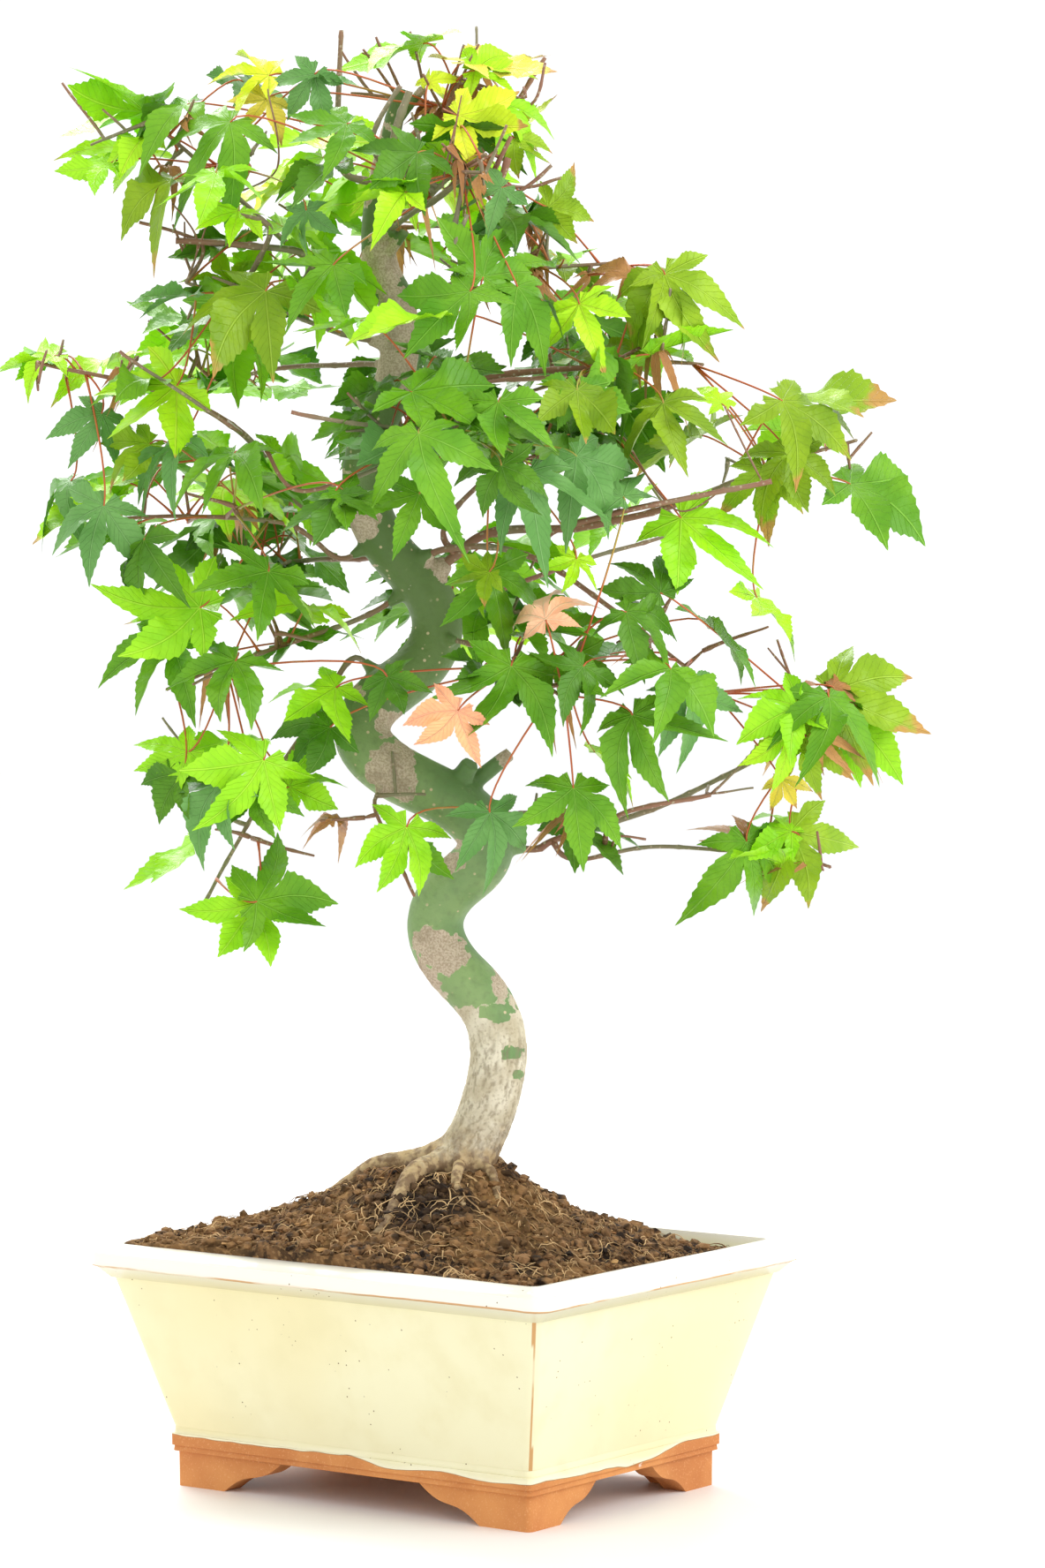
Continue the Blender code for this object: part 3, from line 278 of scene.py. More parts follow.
# Each mass's tints. The lime and bright tints of far_left, mid_left, low_left and lowest_left are painted
# light, for the glow of the backlit leaves on the left
PALETTES = {
    "top": ("yellow", "lime", "gold", "bright", "yellow", "green"),
    "top_left": ("bright", "green", "lime", "blue", "yellow"),
    "top_front": ("green", "bright", "deep", "lime", "green"),
    "top_back": ("lime", "bright", "green", "yellow"),
    "top_right": ("bright", "green", "blue", "olive"),
    "upper_right": ("olive", "browned", "green", "bright"),
    "upper_left": ("bright", "green", "deep", "lime"),
    "far_left": ("lime", "bright", "lime", "bright"),
    "mid_left": ("bright", "lime", "green", "lime", "blue"),
    "mid_front": ("deep", "green", "green", "blue"),
    "mid_right": ("olive", "bright", "green", "browned", "olive"),
    "mid_inner": ("deep", "green", "deep", "green", "blue"),
    "low_left": ("bright", "lime", "bright", "green"),
    "lowest_left": ("bright", "lime", "bright"),
    "low_front": ("deep", "green", "green", "bright"),
    "low_right": ("green", "deep", "bright", "blue"),
    "far_right": ("olive", "green", "browned", "bright"),
    "hanging_right": ("bright", "lime", "browned", "blue"),
    "low_centre": ("green", "deep", "bright"),
    "low_small": ("bright", "green", "deep"),
}
ODD_TINTS = 0.40
OTHER_PALETTE = ("bright", "green", "lime", "deep", "green")


class FrontLeaf(NamedTuple):
    """A leaf that stands out in the front view, in millimetres and degrees.

    Its base, the heading of its middle lobe as seen from the front, how far that lobe comes forward,
    how far its upper side looks up, its length, its tint and its curl.
    """

    across: float
    away: float
    height: float
    heading: float
    forward: float
    upward: float
    length: float
    tint: str
    curl: float = 0.0


# Places and headings were read from the photograph, and turned into the front view's millimetres
FRONT_LEAVES = (
    FrontLeaf(-128, -14, 376, 187, 0, 40, 21, "lime"),
    FrontLeaf(-93, -30, 368, 179, 0, 82, 24, "green"),
    FrontLeaf(-87, -28, 366, 217, 15, 25, 29, "lime"),
    FrontLeaf(-112, -22, 357, 240, 0, 40, 19, "blue", 0.3),
    FrontLeaf(-85, -34, 348, 210, 5, 45, 23, "blue", 0.3),
    FrontLeaf(-96, -26, 347, 208, 0, 50, 19, "browned"),
    FrontLeaf(-67, -52, 344, 234, 25, 25, 29, "green", 0.2),
    FrontLeaf(-110, -40, 327, 252, 15, 40, 24, "blue", 0.4),
    FrontLeaf(-122, -24, 335, 216, 0, 50, 19, "blue", 0.4),
    FrontLeaf(-97, -40, 316, 256, 10, 30, 23, "deep", 0.3),
    FrontLeaf(-56, -56, 306, 253, 15, 10, 27, "green"),
    FrontLeaf(-79, -40, 294, 179, 5, 15, 32, "bright"),
    FrontLeaf(-67, -50, 277, 232, 15, 15, 26, "green"),
    FrontLeaf(-58, -50, 245, 235, 15, 10, 28, "bright"),
    FrontLeaf(-83, -36, 247, 203, 5, 25, 21, "bright"),
    FrontLeaf(-85, -40, 240, 229, 5, 20, 17, "deep"),
    FrontLeaf(-72, -46, 238, 227, 0, 70, 27, "blue"),
    FrontLeaf(-61, -44, 235, 285, 20, 10, 17, "green"),
    FrontLeaf(-62, -30, 197, 236, 20, 20, 25, "bright"),
    FrontLeaf(-61, -34, 198, 15, 0, 35, 28, "green"),
    FrontLeaf(-35, -38, 268, 211, 10, 15, 24, "bright"),
    FrontLeaf(-37, -36, 255, 207, 5, 20, 20, "deep"),
    FrontLeaf(-57, -20, 467, 176, 0, 30, 20, "yellow"),
    FrontLeaf(-58, -22, 459, 239, 10, 20, 15, "gold"),
    FrontLeaf(-42, -26, 467, 236, 5, 10, 18, "blue", 0.2),
    FrontLeaf(-41, -24, 466, 354, 0, 65, 13, "blue"),
    FrontLeaf(-84, -16, 458, 192, 5, 55, 26, "green", 0.4),
    FrontLeaf(-97, -14, 448, 200, 0, 45, 19, "lime", 0.2),
    FrontLeaf(-69, -34, 451, 216, 10, 40, 27, "green", 0.4),
    FrontLeaf(-109, -16, 439, 191, 0, 60, 20, "bright"),
    FrontLeaf(-88, -24, 433, 200, 5, 45, 28, "olive", 0.2),
    FrontLeaf(-73, -46, 434, 264, 35, 20, 24, "bright"),
    FrontLeaf(-31, -42, 450, 204, 20, 15, 23, "green"),
    FrontLeaf(-34, -44, 437, 194, 0, 65, 24, "deep"),
    FrontLeaf(-44, -46, 422, 267, 10, 10, 15, "blue"),
    FrontLeaf(-35, -58, 404, 222, 20, 10, 23, "green"),
    FrontLeaf(-57, -50, 396, 227, 10, 5, 32, "olive"),
    FrontLeaf(-82, -38, 395, 182, 0, 65, 21, "blue"),
    FrontLeaf(-26, -64, 386, 192, 0, 60, 22, "bright"),
    FrontLeaf(-66, -40, 422, 266, 20, 20, 16, "lime"),
    FrontLeaf(10, -14, 469, 5, 0, 30, 19, "lime"),
    FrontLeaf(-5, -16, 465, 62, 0, 10, 11, "yellow", 0.4),
    FrontLeaf(5, -34, 453, 337, 5, 25, 21, "yellow"),
    FrontLeaf(19, -28, 457, 324, 5, 50, 19, "bright", 0.4),
    FrontLeaf(23, -30, 446, 311, 5, 25, 15, "browned"),
    FrontLeaf(-8, -54, 440, 211, 25, 20, 23, "deep"),
    FrontLeaf(-12, -58, 430, 179, 0, 78, 19, "bright"),
    FrontLeaf(-12, -60, 427, 190, 5, 40, 20, "lime"),
    FrontLeaf(19, -52, 429, 204, 20, 20, 18, "blue"),
    FrontLeaf(19, -40, 422, 341, 0, 60, 26, "deep"),
    FrontLeaf(34, -24, 424, 352, 0, 20, 17, "browned"),
    FrontLeaf(13, -64, 400, 76, 0, 10, 24, "green"),
    FrontLeaf(9, -76, 395, 224, 15, 10, 26, "green"),
    FrontLeaf(24, -62, 397, 309, 10, 30, 23, "green", 0.4),
    FrontLeaf(-7, -92, 350, 281, 25, 30, 27, "green", 0.4),
    FrontLeaf(18, -80, 360, 261, 15, 10, 23, "green"),
    FrontLeaf(43, -66, 364, 274, 15, 25, 23, "olive"),
    FrontLeaf(-34, -84, 330, 266, 15, 10, 22, "deep"),
    FrontLeaf(43, -60, 343, 315, 5, 45, 23, "blue", 0.2),
    FrontLeaf(19, -82, 340, 281, 10, 10, 19, "deep"),
    FrontLeaf(28, -70, 338, 282, 5, 25, 26, "blue", 0.4),
    FrontLeaf(-31, -82, 332, 331, 5, 40, 20, "green"),
    FrontLeaf(-7, -84, 331, 247, 10, 15, 21, "green"),
    FrontLeaf(-3, -78, 387, 187, 0, 78, 27, "lime"),
    FrontLeaf(61, -18, 402, 133, 0, 20, 14, "dead", 0.7),
    FrontLeaf(72, -28, 402, 282, 5, 25, 28, "browned", 0.4),
    FrontLeaf(72, -26, 402, 314, 5, 50, 24, "olive", 0.5),
    FrontLeaf(67, -26, 395, 267, 5, 15, 15, "browned", 0.3),
    FrontLeaf(44, -42, 392, 290, 10, 15, 21, "lime"),
    FrontLeaf(50, -38, 378, 321, 0, 75, 25, "green", 0.4),
    FrontLeaf(90, -40, 360, 128, 0, 30, 12, "lime"),
    FrontLeaf(110, -34, 361, 331, 0, 35, 28, "olive", 0.1),
    FrontLeaf(133, -20, 334, 343, 0, 30, 31, "green"),
    FrontLeaf(112, -32, 344, 283, 10, 15, 24, "olive"),
    FrontLeaf(104, -34, 339, 272, 5, 20, 20, "browned", 0.3),
    FrontLeaf(77, -40, 323, 314, 5, 30, 31, "bright", 0.2),
    FrontLeaf(102, -30, 297, 317, 0, 70, 24, "lime"),
    FrontLeaf(71, -48, 360, 270, 15, 10, 24, "olive", 0.3),
    FrontLeaf(58, -54, 330, 135, 0, 20, 21, "blue"),
    FrontLeaf(70, -50, 299, 131, 5, 15, 21, "deep"),
    FrontLeaf(44, -62, 365, 284, 15, 15, 20, "green"),
    FrontLeaf(5, -74, 262, 232, 5, 10, 19, "salmon"),
    FrontLeaf(33, -72, 291, 104, 0, 10, 19, "peach", 1.0),
    FrontLeaf(22, -66, 276, 255, 10, 5, 28, "green"),
    FrontLeaf(45, -68, 276, 239, 15, 10, 22, "deep"),
    FrontLeaf(59, -58, 293, 333, 10, 30, 23, "deep", 0.3),
    FrontLeaf(73, -64, 275, 272, 25, 25, 26, "green", 0.3),
    FrontLeaf(61, -60, 260, 283, 20, 20, 26, "green", 0.3),
    FrontLeaf(42, -50, 236, 273, 10, 10, 24, "green"),
    FrontLeaf(15, -48, 228, 289, 10, 15, 21, "blue", 0.3),
    FrontLeaf(-18, -50, 272, 299, 15, 15, 17, "deep"),
    FrontLeaf(15, -50, 306, 292, 5, 20, 26, "green", 0.2),
    FrontLeaf(15, -60, 306, 205, 0, 30, 14, "browned"),
    FrontLeaf(-12, -44, 223, 252, 15, 5, 24, "bright"),
    FrontLeaf(49, -40, 247, 323, 0, 75, 19, "lime"),
    FrontLeaf(43, -50, 310, 262, 5, 20, 13, "lime"),
    FrontLeaf(79, -46, 268, 291, 5, 15, 20, "blue", 0.4),
    FrontLeaf(125, -40, 265, 282, 20, 25, 25, "green", 0.3),
    FrontLeaf(127, -28, 266, 341, 0, 30, 32, "browned", 0.2),
    FrontLeaf(115, -42, 262, 201, 10, 15, 23, "bright"),
    FrontLeaf(134, -24, 257, 313, 0, 40, 24, "bright", 0.2),
    FrontLeaf(112, -38, 253, 267, 10, 15, 19, "lime", 0.3),
    FrontLeaf(110, -30, 238, 302, 0, 20, 11, "gold", 0.4),
    FrontLeaf(118, -36, 252, 326, 5, 20, 19, "browned", 0.2),
    FrontLeaf(85, -30, 289, 323, 0, 72, 29, "green"),
    FrontLeaf(99, -24, 217, 283, 5, 15, 27, "green", 0.6),
    FrontLeaf(99, -20, 216, 124, 0, 30, 13, "dead", 0.6),
    FrontLeaf(114, -18, 220, 301, 5, 25, 28, "browned", 0.4),
    FrontLeaf(114, -20, 220, 163, 0, 45, 19, "bright", 0.2),
    FrontLeaf(116, -34, 267, 49, 0, 20, 10, "dead", 0.8),
    FrontLeaf(122, -44, 253, 292, 10, 10, 10, "dead", 0.8),
    FrontLeaf(127, -30, 268, 8, 0, 20, 12, "dead", 0.5),
)
FRONT_ROLL, FRONT_LEAN, FRONT_LOOK = 0.50, (0.15, 0.75), (0.10, 0.60)
FRONT_LEVEL = (205, 290)
CLEAR_SHARE, CLEAR_DEPTH = 0.50, 0.002
FRONT_CURL = 0.10

# The share of a mass's other leaves that is kept, so that the crown is as open as in the photograph
KEPT = {
    "mid_right": 0.25,
    "upper_right": 0.35,
    "far_right": 0.15,
    "low_right": 0.15,
    "hanging_right": 0.15,
    "low_back_right": 0.50,
    "upper_back": 0.80,
    "low_left": 0.55,
    "lowest_left": 0.15,
    "mid_left": 0.75,
    "far_left": 0.80,
    "low_front": 0.30,
    "low_centre": 0.25,
    "low_small": 0.20,
    "low_back_left": 0.85,
    "low_back": 0.75,
    "top_left": 0.30,
    "top_front": 0.45,
    "top_back": 0.80,
    "top": 0.30,
    "top_right": 0.40,
}
OTHERS_KEPT = 0.92

# Twigs that stand out in the front view: across, away and height of the lower end, across and height
# of the upper end, and radius, all in millimetres
FRONT_TWIGS = (
    (-23, -30, 443, -14, 463, 0.9),
    (-16, -34, 441, -11, 461, 1.5),
    (27, -22, 457, 33, 471, 0.6),
    (25, -24, 459, 26, 463, 0.6),
    (13, -40, 431, 22, 446, 0.9),
    (17, -44, 431, 21, 439, 1.3),
    (20, -36, 427, 35, 437, 0.7),
    (26, -34, 430, 38, 433, 0.6),
    (3, -60, 410, 8, 420, 0.9),
    (-9, -50, 432, -8, 441, 0.4),
    (0, -52, 429, 4, 449, 0.35),
    (2, -44, 434, 6, 459, 0.30),
    (-44, -30, 408, -87, 413, 1.2),
    (-79, -28, 412, -99, 419, 0.7),
    (-80, -30, 413, -88, 425, 0.35),
    (-78, -32, 415, -75, 425, 0.3),
    (-56, -40, 416, -68, 421, 1.0),
    (-54, -30, 437, -57, 462, 0.35),
    (-45, -52, 332, -57, 345, 0.8),
    (-31, -70, 354, -48, 357, 0.8),
    (-68, -36, 352, -105, 377, 0.7),
    (39, -46, 320, 106, 335, 1.1),
    (103, -42, 335, 91, 359, 0.4),
    (75, -40, 326, 91, 333, 0.35),
    (57, -34, 226, 87, 233, 0.9),
    (87, -32, 233, 101, 247, 0.5),
    (87, -30, 233, 101, 235, 0.4),
    (57, -28, 219, 66, 218, 0.45),
)

# Bare twigs and dead scraps of leaves, by how many each mass has
BARE_TWIGS = {"top": 9, "top_right": 5, "top_front": 4, "top_left": 3, "top_back": 6, "upper_back": 3}
OTHER_TWIGS, BARE_LENGTH, BARE_RADIUS = 1, (0.010, 0.026), 0.00060
BARE_ALONG, BARE_SPREAD, BARE_RISE = (0.1, 0.95), 0.6, 0.9
FORKED, FORK_SPREAD, FORK_LENGTH = 0.3, 0.8, 0.45
SCRAPS = {
    "top": 12,
    "top_right": 7,
    "top_front": 6,
    "top_left": 3,
    "top_back": 8,
    "upper_right": 3,
    "far_right": 3,
}
OTHER_SCRAPS = 1
SCRAP_LENGTH, SCRAP_CURL = (0.0050, 0.0105), (0.6, 2.2)
SCRAP_ALONG, SCRAP_TILT = (0.3, 1.0), (-1.0, 1.2)

# Steps along limbs, in metres, and sides round them
LIMB_STEP, SHOOT_STEP, BARE_STEP, BARE_SHOOT_STEP, CARRIER_STEP = 0.0016, 0.0018, 0.0020, 0.0015, 0.003
FINE_TRUNK_STEPS, ROOT_STEPS = 10, 9
BOUGH_SIDES, ROOT_SIDES, STUB_SIDES = 12, 12, 12
COLLAR_SIDES, BARE_SHOOT_SIDES, FRONT_TWIG_SIDES = 10, 10, 8
SHOOT_SIDES, FORK_SIDES, FIBRE_SIDES = 6, 5, 4

# Bark
BOUGH_SLIMNESS = 0.58
COLLAR_FACTORS = (2.55, 1.875, 0.80)
FLARE, FLARE_FADE = 0.7, 0.55
BARK_VOXEL = 0.00075
BARK_SIDES, BARK_STEP = 28, 0.0022
BARK_SMOOTHS = 3
# Patches on the front, as (across, up, half width, half height, tan or green)
BARK_PATCHES = (
    (-0.0018, 0.1785, 0.0085, 0.0080, 1),
    (-0.0060, 0.1690, 0.0050, 0.0070, 1),
    (0.0180, 0.1690, 0.0030, 0.0060, 1),
    (-0.0162, 0.2400, 0.0070, 0.0082, 1),
    (-0.0188, 0.2550, 0.0048, 0.0042, 1),
    (-0.0290, 0.3210, 0.0075, 0.0060, 1),
    (-0.0010, 0.3070, 0.0050, 0.0045, 1),
    (0.0062, 0.2150, 0.0080, 0.0020, 1),
    (0.0032, 0.2090, 0.0034, 0.0030, 1),
    (-0.0300, 0.2660, 0.0040, 0.0030, 1),
    (0.0215, 0.2440, 0.0050, 0.0045, 1),
    (-0.0150, 0.3800, 0.0120, 0.0170, 1),
    (-0.0230, 0.4060, 0.0100, 0.0090, 1),
    (-0.0240, 0.4400, 0.0090, 0.0120, 1),
    (0.0075, 0.1670, 0.0064, 0.0060, -1),
    (0.0174, 0.1595, 0.0062, 0.0030, -1),
    (0.0217, 0.1460, 0.0043, 0.0022, -1),
    (0.0241, 0.1385, 0.0019, 0.0017, -1),
)
# Cut stubs of old limbs on the trunk, as (start, end, radius)
STUBS = (
    ((0.0090, -0.0040, 0.2350), (0.0215, -0.0075, 0.2450), 0.0023),
    ((0.0030, -0.0060, 0.2330), (0.0085, -0.0120, 0.2420), 0.0030),
    ((-0.0140, -0.0030, 0.3900), (-0.0060, -0.0120, 0.3990), 0.0019),
    ((-0.0220, 0.0000, 0.4050), (-0.0130, -0.0080, 0.4170), 0.0017),
    ((-0.0160, 0.0000, 0.4530), (-0.0070, -0.0060, 0.4640), 0.0013),
)
FRONT_FACING, PATCH_EDGE = (0.35, -0.15), (1.15, 0.85)
WILD_PATCHES, WILD_ON_FRONT = (0.14, 0.44), 0.25
BASE_TOP, BASE_FADE, BASE_RAGGED, BACK_RAGGED = 0.170, 0.014, 0.006, 0.030
SWELL, GRAIN, PATCH_DEPTH = 0.00022, 0.00022, 0.00012
CRACKS_ROUND, CRACKS_UP, CRACK_SHARPNESS = 560, 95, 2.6
CRACK_EDGE, CRACKS_END, CRACK_DEPTH = (0.50, 0.98), (0.160, 0.145), 0.00034
RING_SPACING, RING_STEP, RING_WIDTH = 0.0145, 0.001, 0.0009
RING_SWELL, RING_TAN = 0.00028, 0.75
# On the next line, the first pair is the heights over which painted shade darkens the bark in the crown
CROWN_SHADE_HEIGHTS, ROOT_BARK, ROOT_FOOT_DARKENING = (0.215, 0.290), (0.134, 0.118), (0.112, 0.100)

# Pot and soil
CORNER_STEPS, SIDE_STEPS, OGEE_STEPS = 8, 18, 14
SOFT_EDGE, SOFT_STEPS, WALL_STEP = 0.0009, 3, 0.0060
WARP, WARP_SCALE, WARP_UP, WARP_FROM = 0.00022, 22.0, 0.6, 0.05
GLAZE_LINE, GLAZE_WAVES = 0.0168, 0.0110
LIP_LINE, LIP_LINE_WAVES, LIP_LINE_WIDTH = POT_HEIGHT - LIP_DROP - LIP_FACE, 0.0012, 0.00055
SOIL_SIDES, SOIL_RINGS = 192, 64
EDGE_ROUNDS, SOIL_CORNER = 3, 0.0018
UNDERSIDE_RECESS, THIN_CORNER, SHARP_ANGLE = 0.0010, 0.0009, 50
# Painted shade before the trunk's foot: where it lies, how far it reaches and how ragged its edge is
FOOT_SHADE_PATCH, FOOT_REACH, FOOT_RAGGED = (-0.008, -0.034, 0.0), 0.020, 2.4
CLODS, CLOD_LEAN = ((60.0, 0.0016), (170.0, 0.0016), (480.0, 0.0009)), 0.3
SCATTER_REACH = 0.985
CRUMBS, CRUMB_SIZE, CRUMB_FLATNESS = 5200, (0.0004, 0.0027), 0.8
CHIPS, CHIP_SIZE, CHIP_FLATNESS = 170, (0.0011, 0.0034), 0.22
LUMP_STRETCH = ((0.7, 1.5), (0.6, 1.1), (0.7, 1.2))
LUMP_TILT, LUMP_UNEVEN, LUMP_RISE, LUMP_SMALLNESS = 0.6, (0.65, 1.15), 0.25, 3
FIBRES, FIBRE_LENGTH, FIBRE_RADIUS = 1500, (0.003, 0.021), (0.00009, 0.00028)
FIBRE_STEPS, FIBRE_WANDER, FIBRE_TAPER, FIBRE_MARGIN = 7, 0.6, 0.6, 0.001
FIBRE_SINK, FIBRE_HUMP, FIBRE_WOBBLE = 0.0006, (0.0002, 0.0022), (-0.0002, 0.0004)


def placed():
    """From the tree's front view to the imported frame."""
    low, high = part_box("pot")
    middle = (low + high) / 2
    return Matrix.Translation((middle.x, middle.y, 0)) @ Matrix.Rotation(TREE_TURN, 4, "Z")


PLACE = placed()
POT_PLACE = PLACE @ Matrix.Rotation(-TREE_TURN, 4, "Z")


def new_object(name, mesh):
    made = bpy.data.objects.new(name, mesh)
    bpy.context.scene.collection.objects.link(made)
    return made


def new_piece(name, mesh, finish, nodes=()):
    """A piece of the plant: it rides on its body, has its finish and stands for the nodes named."""
    made = new_object(name, mesh)
    mesh.materials.clear()
    mesh.materials.append(finish)
    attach(made, BODY)
    if nodes:
        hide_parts(*nodes)
    return made


def interpolate(rows, at):
    """The value at a place along rows of (place, value)."""
    for (low, low_value), (high, high_value) in zip(rows, rows[1:]):
        if at <= high:
            share = max(0.0, (at - low) / (high - low))
            return low_value + (high_value - low_value) * share
    return rows[-1][1]


def smoothstep(low, high, value):
    share = min(1.0, max(0.0, (value - low) / (high - low)))
    return share * share * (3 - 2 * share)


# Materials

SPOT_CORE = 0.6

VEINS, VEIN_LEAN, VEIN_EDGE, VEIN_SHOWS = 11.0, 1.15, (0.44, 0.50), 0.14
RIB_EDGE, RIB_SHOWS = (0.0125, 0.004), 0.50
PALER, PALER_BASE = 1.3, 0.05
TIP_BROWN, BROWN_EDGE, BROWN_SPREAD, BROWN_RAGGED = (0.60, 0.30, 0.09), (1.22, 1.36), 0.20, 0.55

CREAM, LIGHT_CREAM, DULL_CREAM = (0.79, 0.71, 0.41), (0.83, 0.79, 0.53), (0.74, 0.67, 0.38)
RIM_CREAM, INNER_CREAM, FAT_CREAM = (0.90, 0.88, 0.82), (0.80, 0.76, 0.36), (0.90, 0.86, 0.66)
SPECK_BROWN, THIN_BROWN = (0.19, 0.13, 0.06), (0.56, 0.27, 0.075)
CLAY, LIGHT_CLAY = (0.54, 0.190, 0.050), (0.68, 0.285, 0.085)
CLAY_GRAIN, CLAY_CHIP = (0.78, 0.42, 0.18), (0.88, 0.84, 0.76)
PALE_RIM = (POT_HEIGHT - 0.012, POT_HEIGHT - 0.005)
GLAZE_EDGE, FAT_EDGE = 0.00015, (0.0003, 0.0022)

DARK_SOIL, WARM_SOIL, PALE_SOIL = (0.022, 0.012, 0.007), (0.200, 0.105, 0.042), (0.340, 0.200, 0.085)
# The middle colour of the next line is painted shade: the almost black soil in the shade before the trunk's
# foot
BLACK_SOIL, FOOT_SHADE_SOIL, RICH_SOIL = (0.014, 0.009, 0.006), (0.014, 0.009, 0.007), (0.300, 0.160, 0.055)
# What lies on the soil: its dark and light colours, and the scale of the noise between them
BITS_LOOKS = {
    "crumbs": ((0.018, 0.010, 0.006), (0.290, 0.160, 0.070), 230.0),
    "chips": ((0.230, 0.100, 0.030), (0.560, 0.330, 0.130), 120.0),
    "fibres": ((0.160, 0.075, 0.028), (0.760, 0.520, 0.260), 90.0),
}

STALK_RED, STALK_ORANGE, STALK_GREEN = (0.50, 0.055, 0.020), (0.62, 0.20, 0.045), (0.42, 0.40, 0.06)
TWIG_BROWN, TWIG_TAN, TWIG_PORE = (0.200, 0.075, 0.040), (0.360, 0.190, 0.110), (0.42, 0.33, 0.22)
TWIG_GREEN, TWIG_GREY = (0.180, 0.165, 0.085), (0.300, 0.270, 0.160)

BARK_GREEN, LIGHT_GREEN, DULL_GREEN = (0.150, 0.270, 0.095), (0.300, 0.430, 0.170), (0.140, 0.190, 0.085)
# The first colour of the next line is painted shade, the darker bark in the crown
CROWN_SHADE_GREEN, BARK_FLECK = (0.085, 0.150, 0.030), (0.60, 0.50, 0.30)
BARK_TAN, LIGHT_TAN, DARK_TAN = (0.430, 0.330, 0.235), (0.620, 0.510, 0.390), (0.300, 0.230, 0.150)
BARK_PALE, LIGHT_PALE, DARK_PALE = (0.560, 0.490, 0.340), (0.760, 0.700, 0.540), (0.380, 0.310, 0.200)
PATCH_RIM, FISSURE_BROWN = (0.72, 0.66, 0.48), (0.250, 0.200, 0.125)
ROOT_BROWN, ROOT_TAN, ROOT_FOOT_DARK = (0.190, 0.110, 0.050), (0.480, 0.340, 0.170), (0.090, 0.052, 0.028)

FLOOR_GREY, FLOOR_WHITE = (0.90, 0.90, 0.90), (0.93, 0.93, 0.92)


class Finish:
    """A Principled material and short calls for the nodes that feed it."""

    def __init__(self, name, roughness, specular=0.5):
        self.material = bpy.data.materials.new(name)
        self.material.use_nodes = True
        self.tree = self.material.node_tree
        self.shader = self.tree.nodes["Principled BSDF"]
        self.shader.inputs["Roughness"].default_value = roughness
        self.shader.inputs["Specular IOR Level"].default_value = specular

    def put(self, socket, value):
        """Set a socket to a value, or link it to another node's output."""
        if isinstance(value, bpy.types.NodeSocket):
            self.tree.links.new(value, socket)
        elif hasattr(value, "__len__") and len(value) == 3 and len(socket.default_value) == 4:
            socket.default_value = (*value, 1.0)
        else:
            socket.default_value = value

    def place(self, kind="Object"):
        return self.tree.nodes.new("ShaderNodeTexCoord").outputs[kind]

    def noise(self, scale, detail=3.0):
        node = self.tree.nodes.new("ShaderNodeTexNoise")
        node.inputs["Scale"].default_value = scale
        node.inputs["Detail"].default_value = detail
        self.put(node.inputs["Vector"], self.place())
        return node.outputs["Fac"]

    def spots(self, scale, size):
        """Round spots of a size in cells, 1 inside."""
        node = self.tree.nodes.new("ShaderNodeTexVoronoi")
        node.inputs["Scale"].default_value = scale
        self.put(node.inputs["Vector"], self.place())
        return self.between(node.outputs["Distance"], size, size * SPOT_CORE)

    def attribute(self, name):
        node = self.tree.nodes.new("ShaderNodeAttribute")
        node.attribute_name = name
        return node.outputs["Fac"]

    def axis(self, name, source=None):
        node = self.tree.nodes.new("ShaderNodeSeparateXYZ")
        self.put(node.inputs[0], source or self.place())
        return node.outputs[name]

    def math(self, operation, first, second=0.0, third=0.0):
        node = self.tree.nodes.new("ShaderNodeMath")
        node.operation = operation
        for socket, value in zip(node.inputs, (first, second, third)):
            self.put(socket, value)
        return node.outputs[0]

    def times(self, first, second):
        return self.math("MULTIPLY", first, second)

    def apart(self, value, middle):
        """How far a value is from a middle one."""
        return self.math("ABSOLUTE", self.math("SUBTRACT", value, middle))

    def between(self, value, low, high, to_low=0.0, to_high=1.0):
        """The value mapped smoothly from one range to another."""
        node = self.tree.nodes.new("ShaderNodeMapRange")
        node.interpolation_type = "SMOOTHSTEP"
        for name, number in (("From Min", low), ("From Max", high), ("To Min", to_low), ("To Max", to_high)):
            node.inputs[name].default_value = number
        self.put(node.inputs["Value"], value)
        return node.outputs["Result"]

    def mix(self, share, first, second):
        node = self.tree.nodes.new("ShaderNodeMix")
        node.data_type = "RGBA"
        self.put(node.inputs["Factor"], share)
        colours = [socket for socket in node.inputs if socket.type == "RGBA"]
        for socket, value in zip(colours, (first, second)):
            self.put(socket, value)
        return next(socket for socket in node.outputs if socket.type == "RGBA")

    def cloudy(self, first, second, scale, detail, over, most=1.0):
        """A colour clouded by a second one, which grows over a range of the noise up to its most."""
        share = self.between(self.noise(scale, detail), *over, 0.0, most)
        return self.mix(share, first, second)

    def speckled(self, base, speck, scale, size, patches, over):
        """A colour with round spots of another, gathered in patches of that scale."""
        share = self.times(self.spots(scale, size), self.between(self.noise(patches), *over))
        return self.mix(share, base, speck)

    def colour(self, value):
        self.put(self.shader.inputs["Base Color"], value)

    def roughness(self, value):
        self.put(self.shader.inputs["Roughness"], value)

    def bump(self, height, strength, distance):
        node = self.tree.nodes.new("ShaderNodeBump")
        node.inputs["Strength"].default_value = strength
        node.inputs["Distance"].default_value = distance
        self.put(node.inputs["Height"], height)
        if self.shader.inputs["Normal"].is_linked:
            self.put(node.inputs["Normal"], self.shader.inputs["Normal"].links[0].from_socket)
        self.put(self.shader.inputs["Normal"], node.outputs["Normal"])


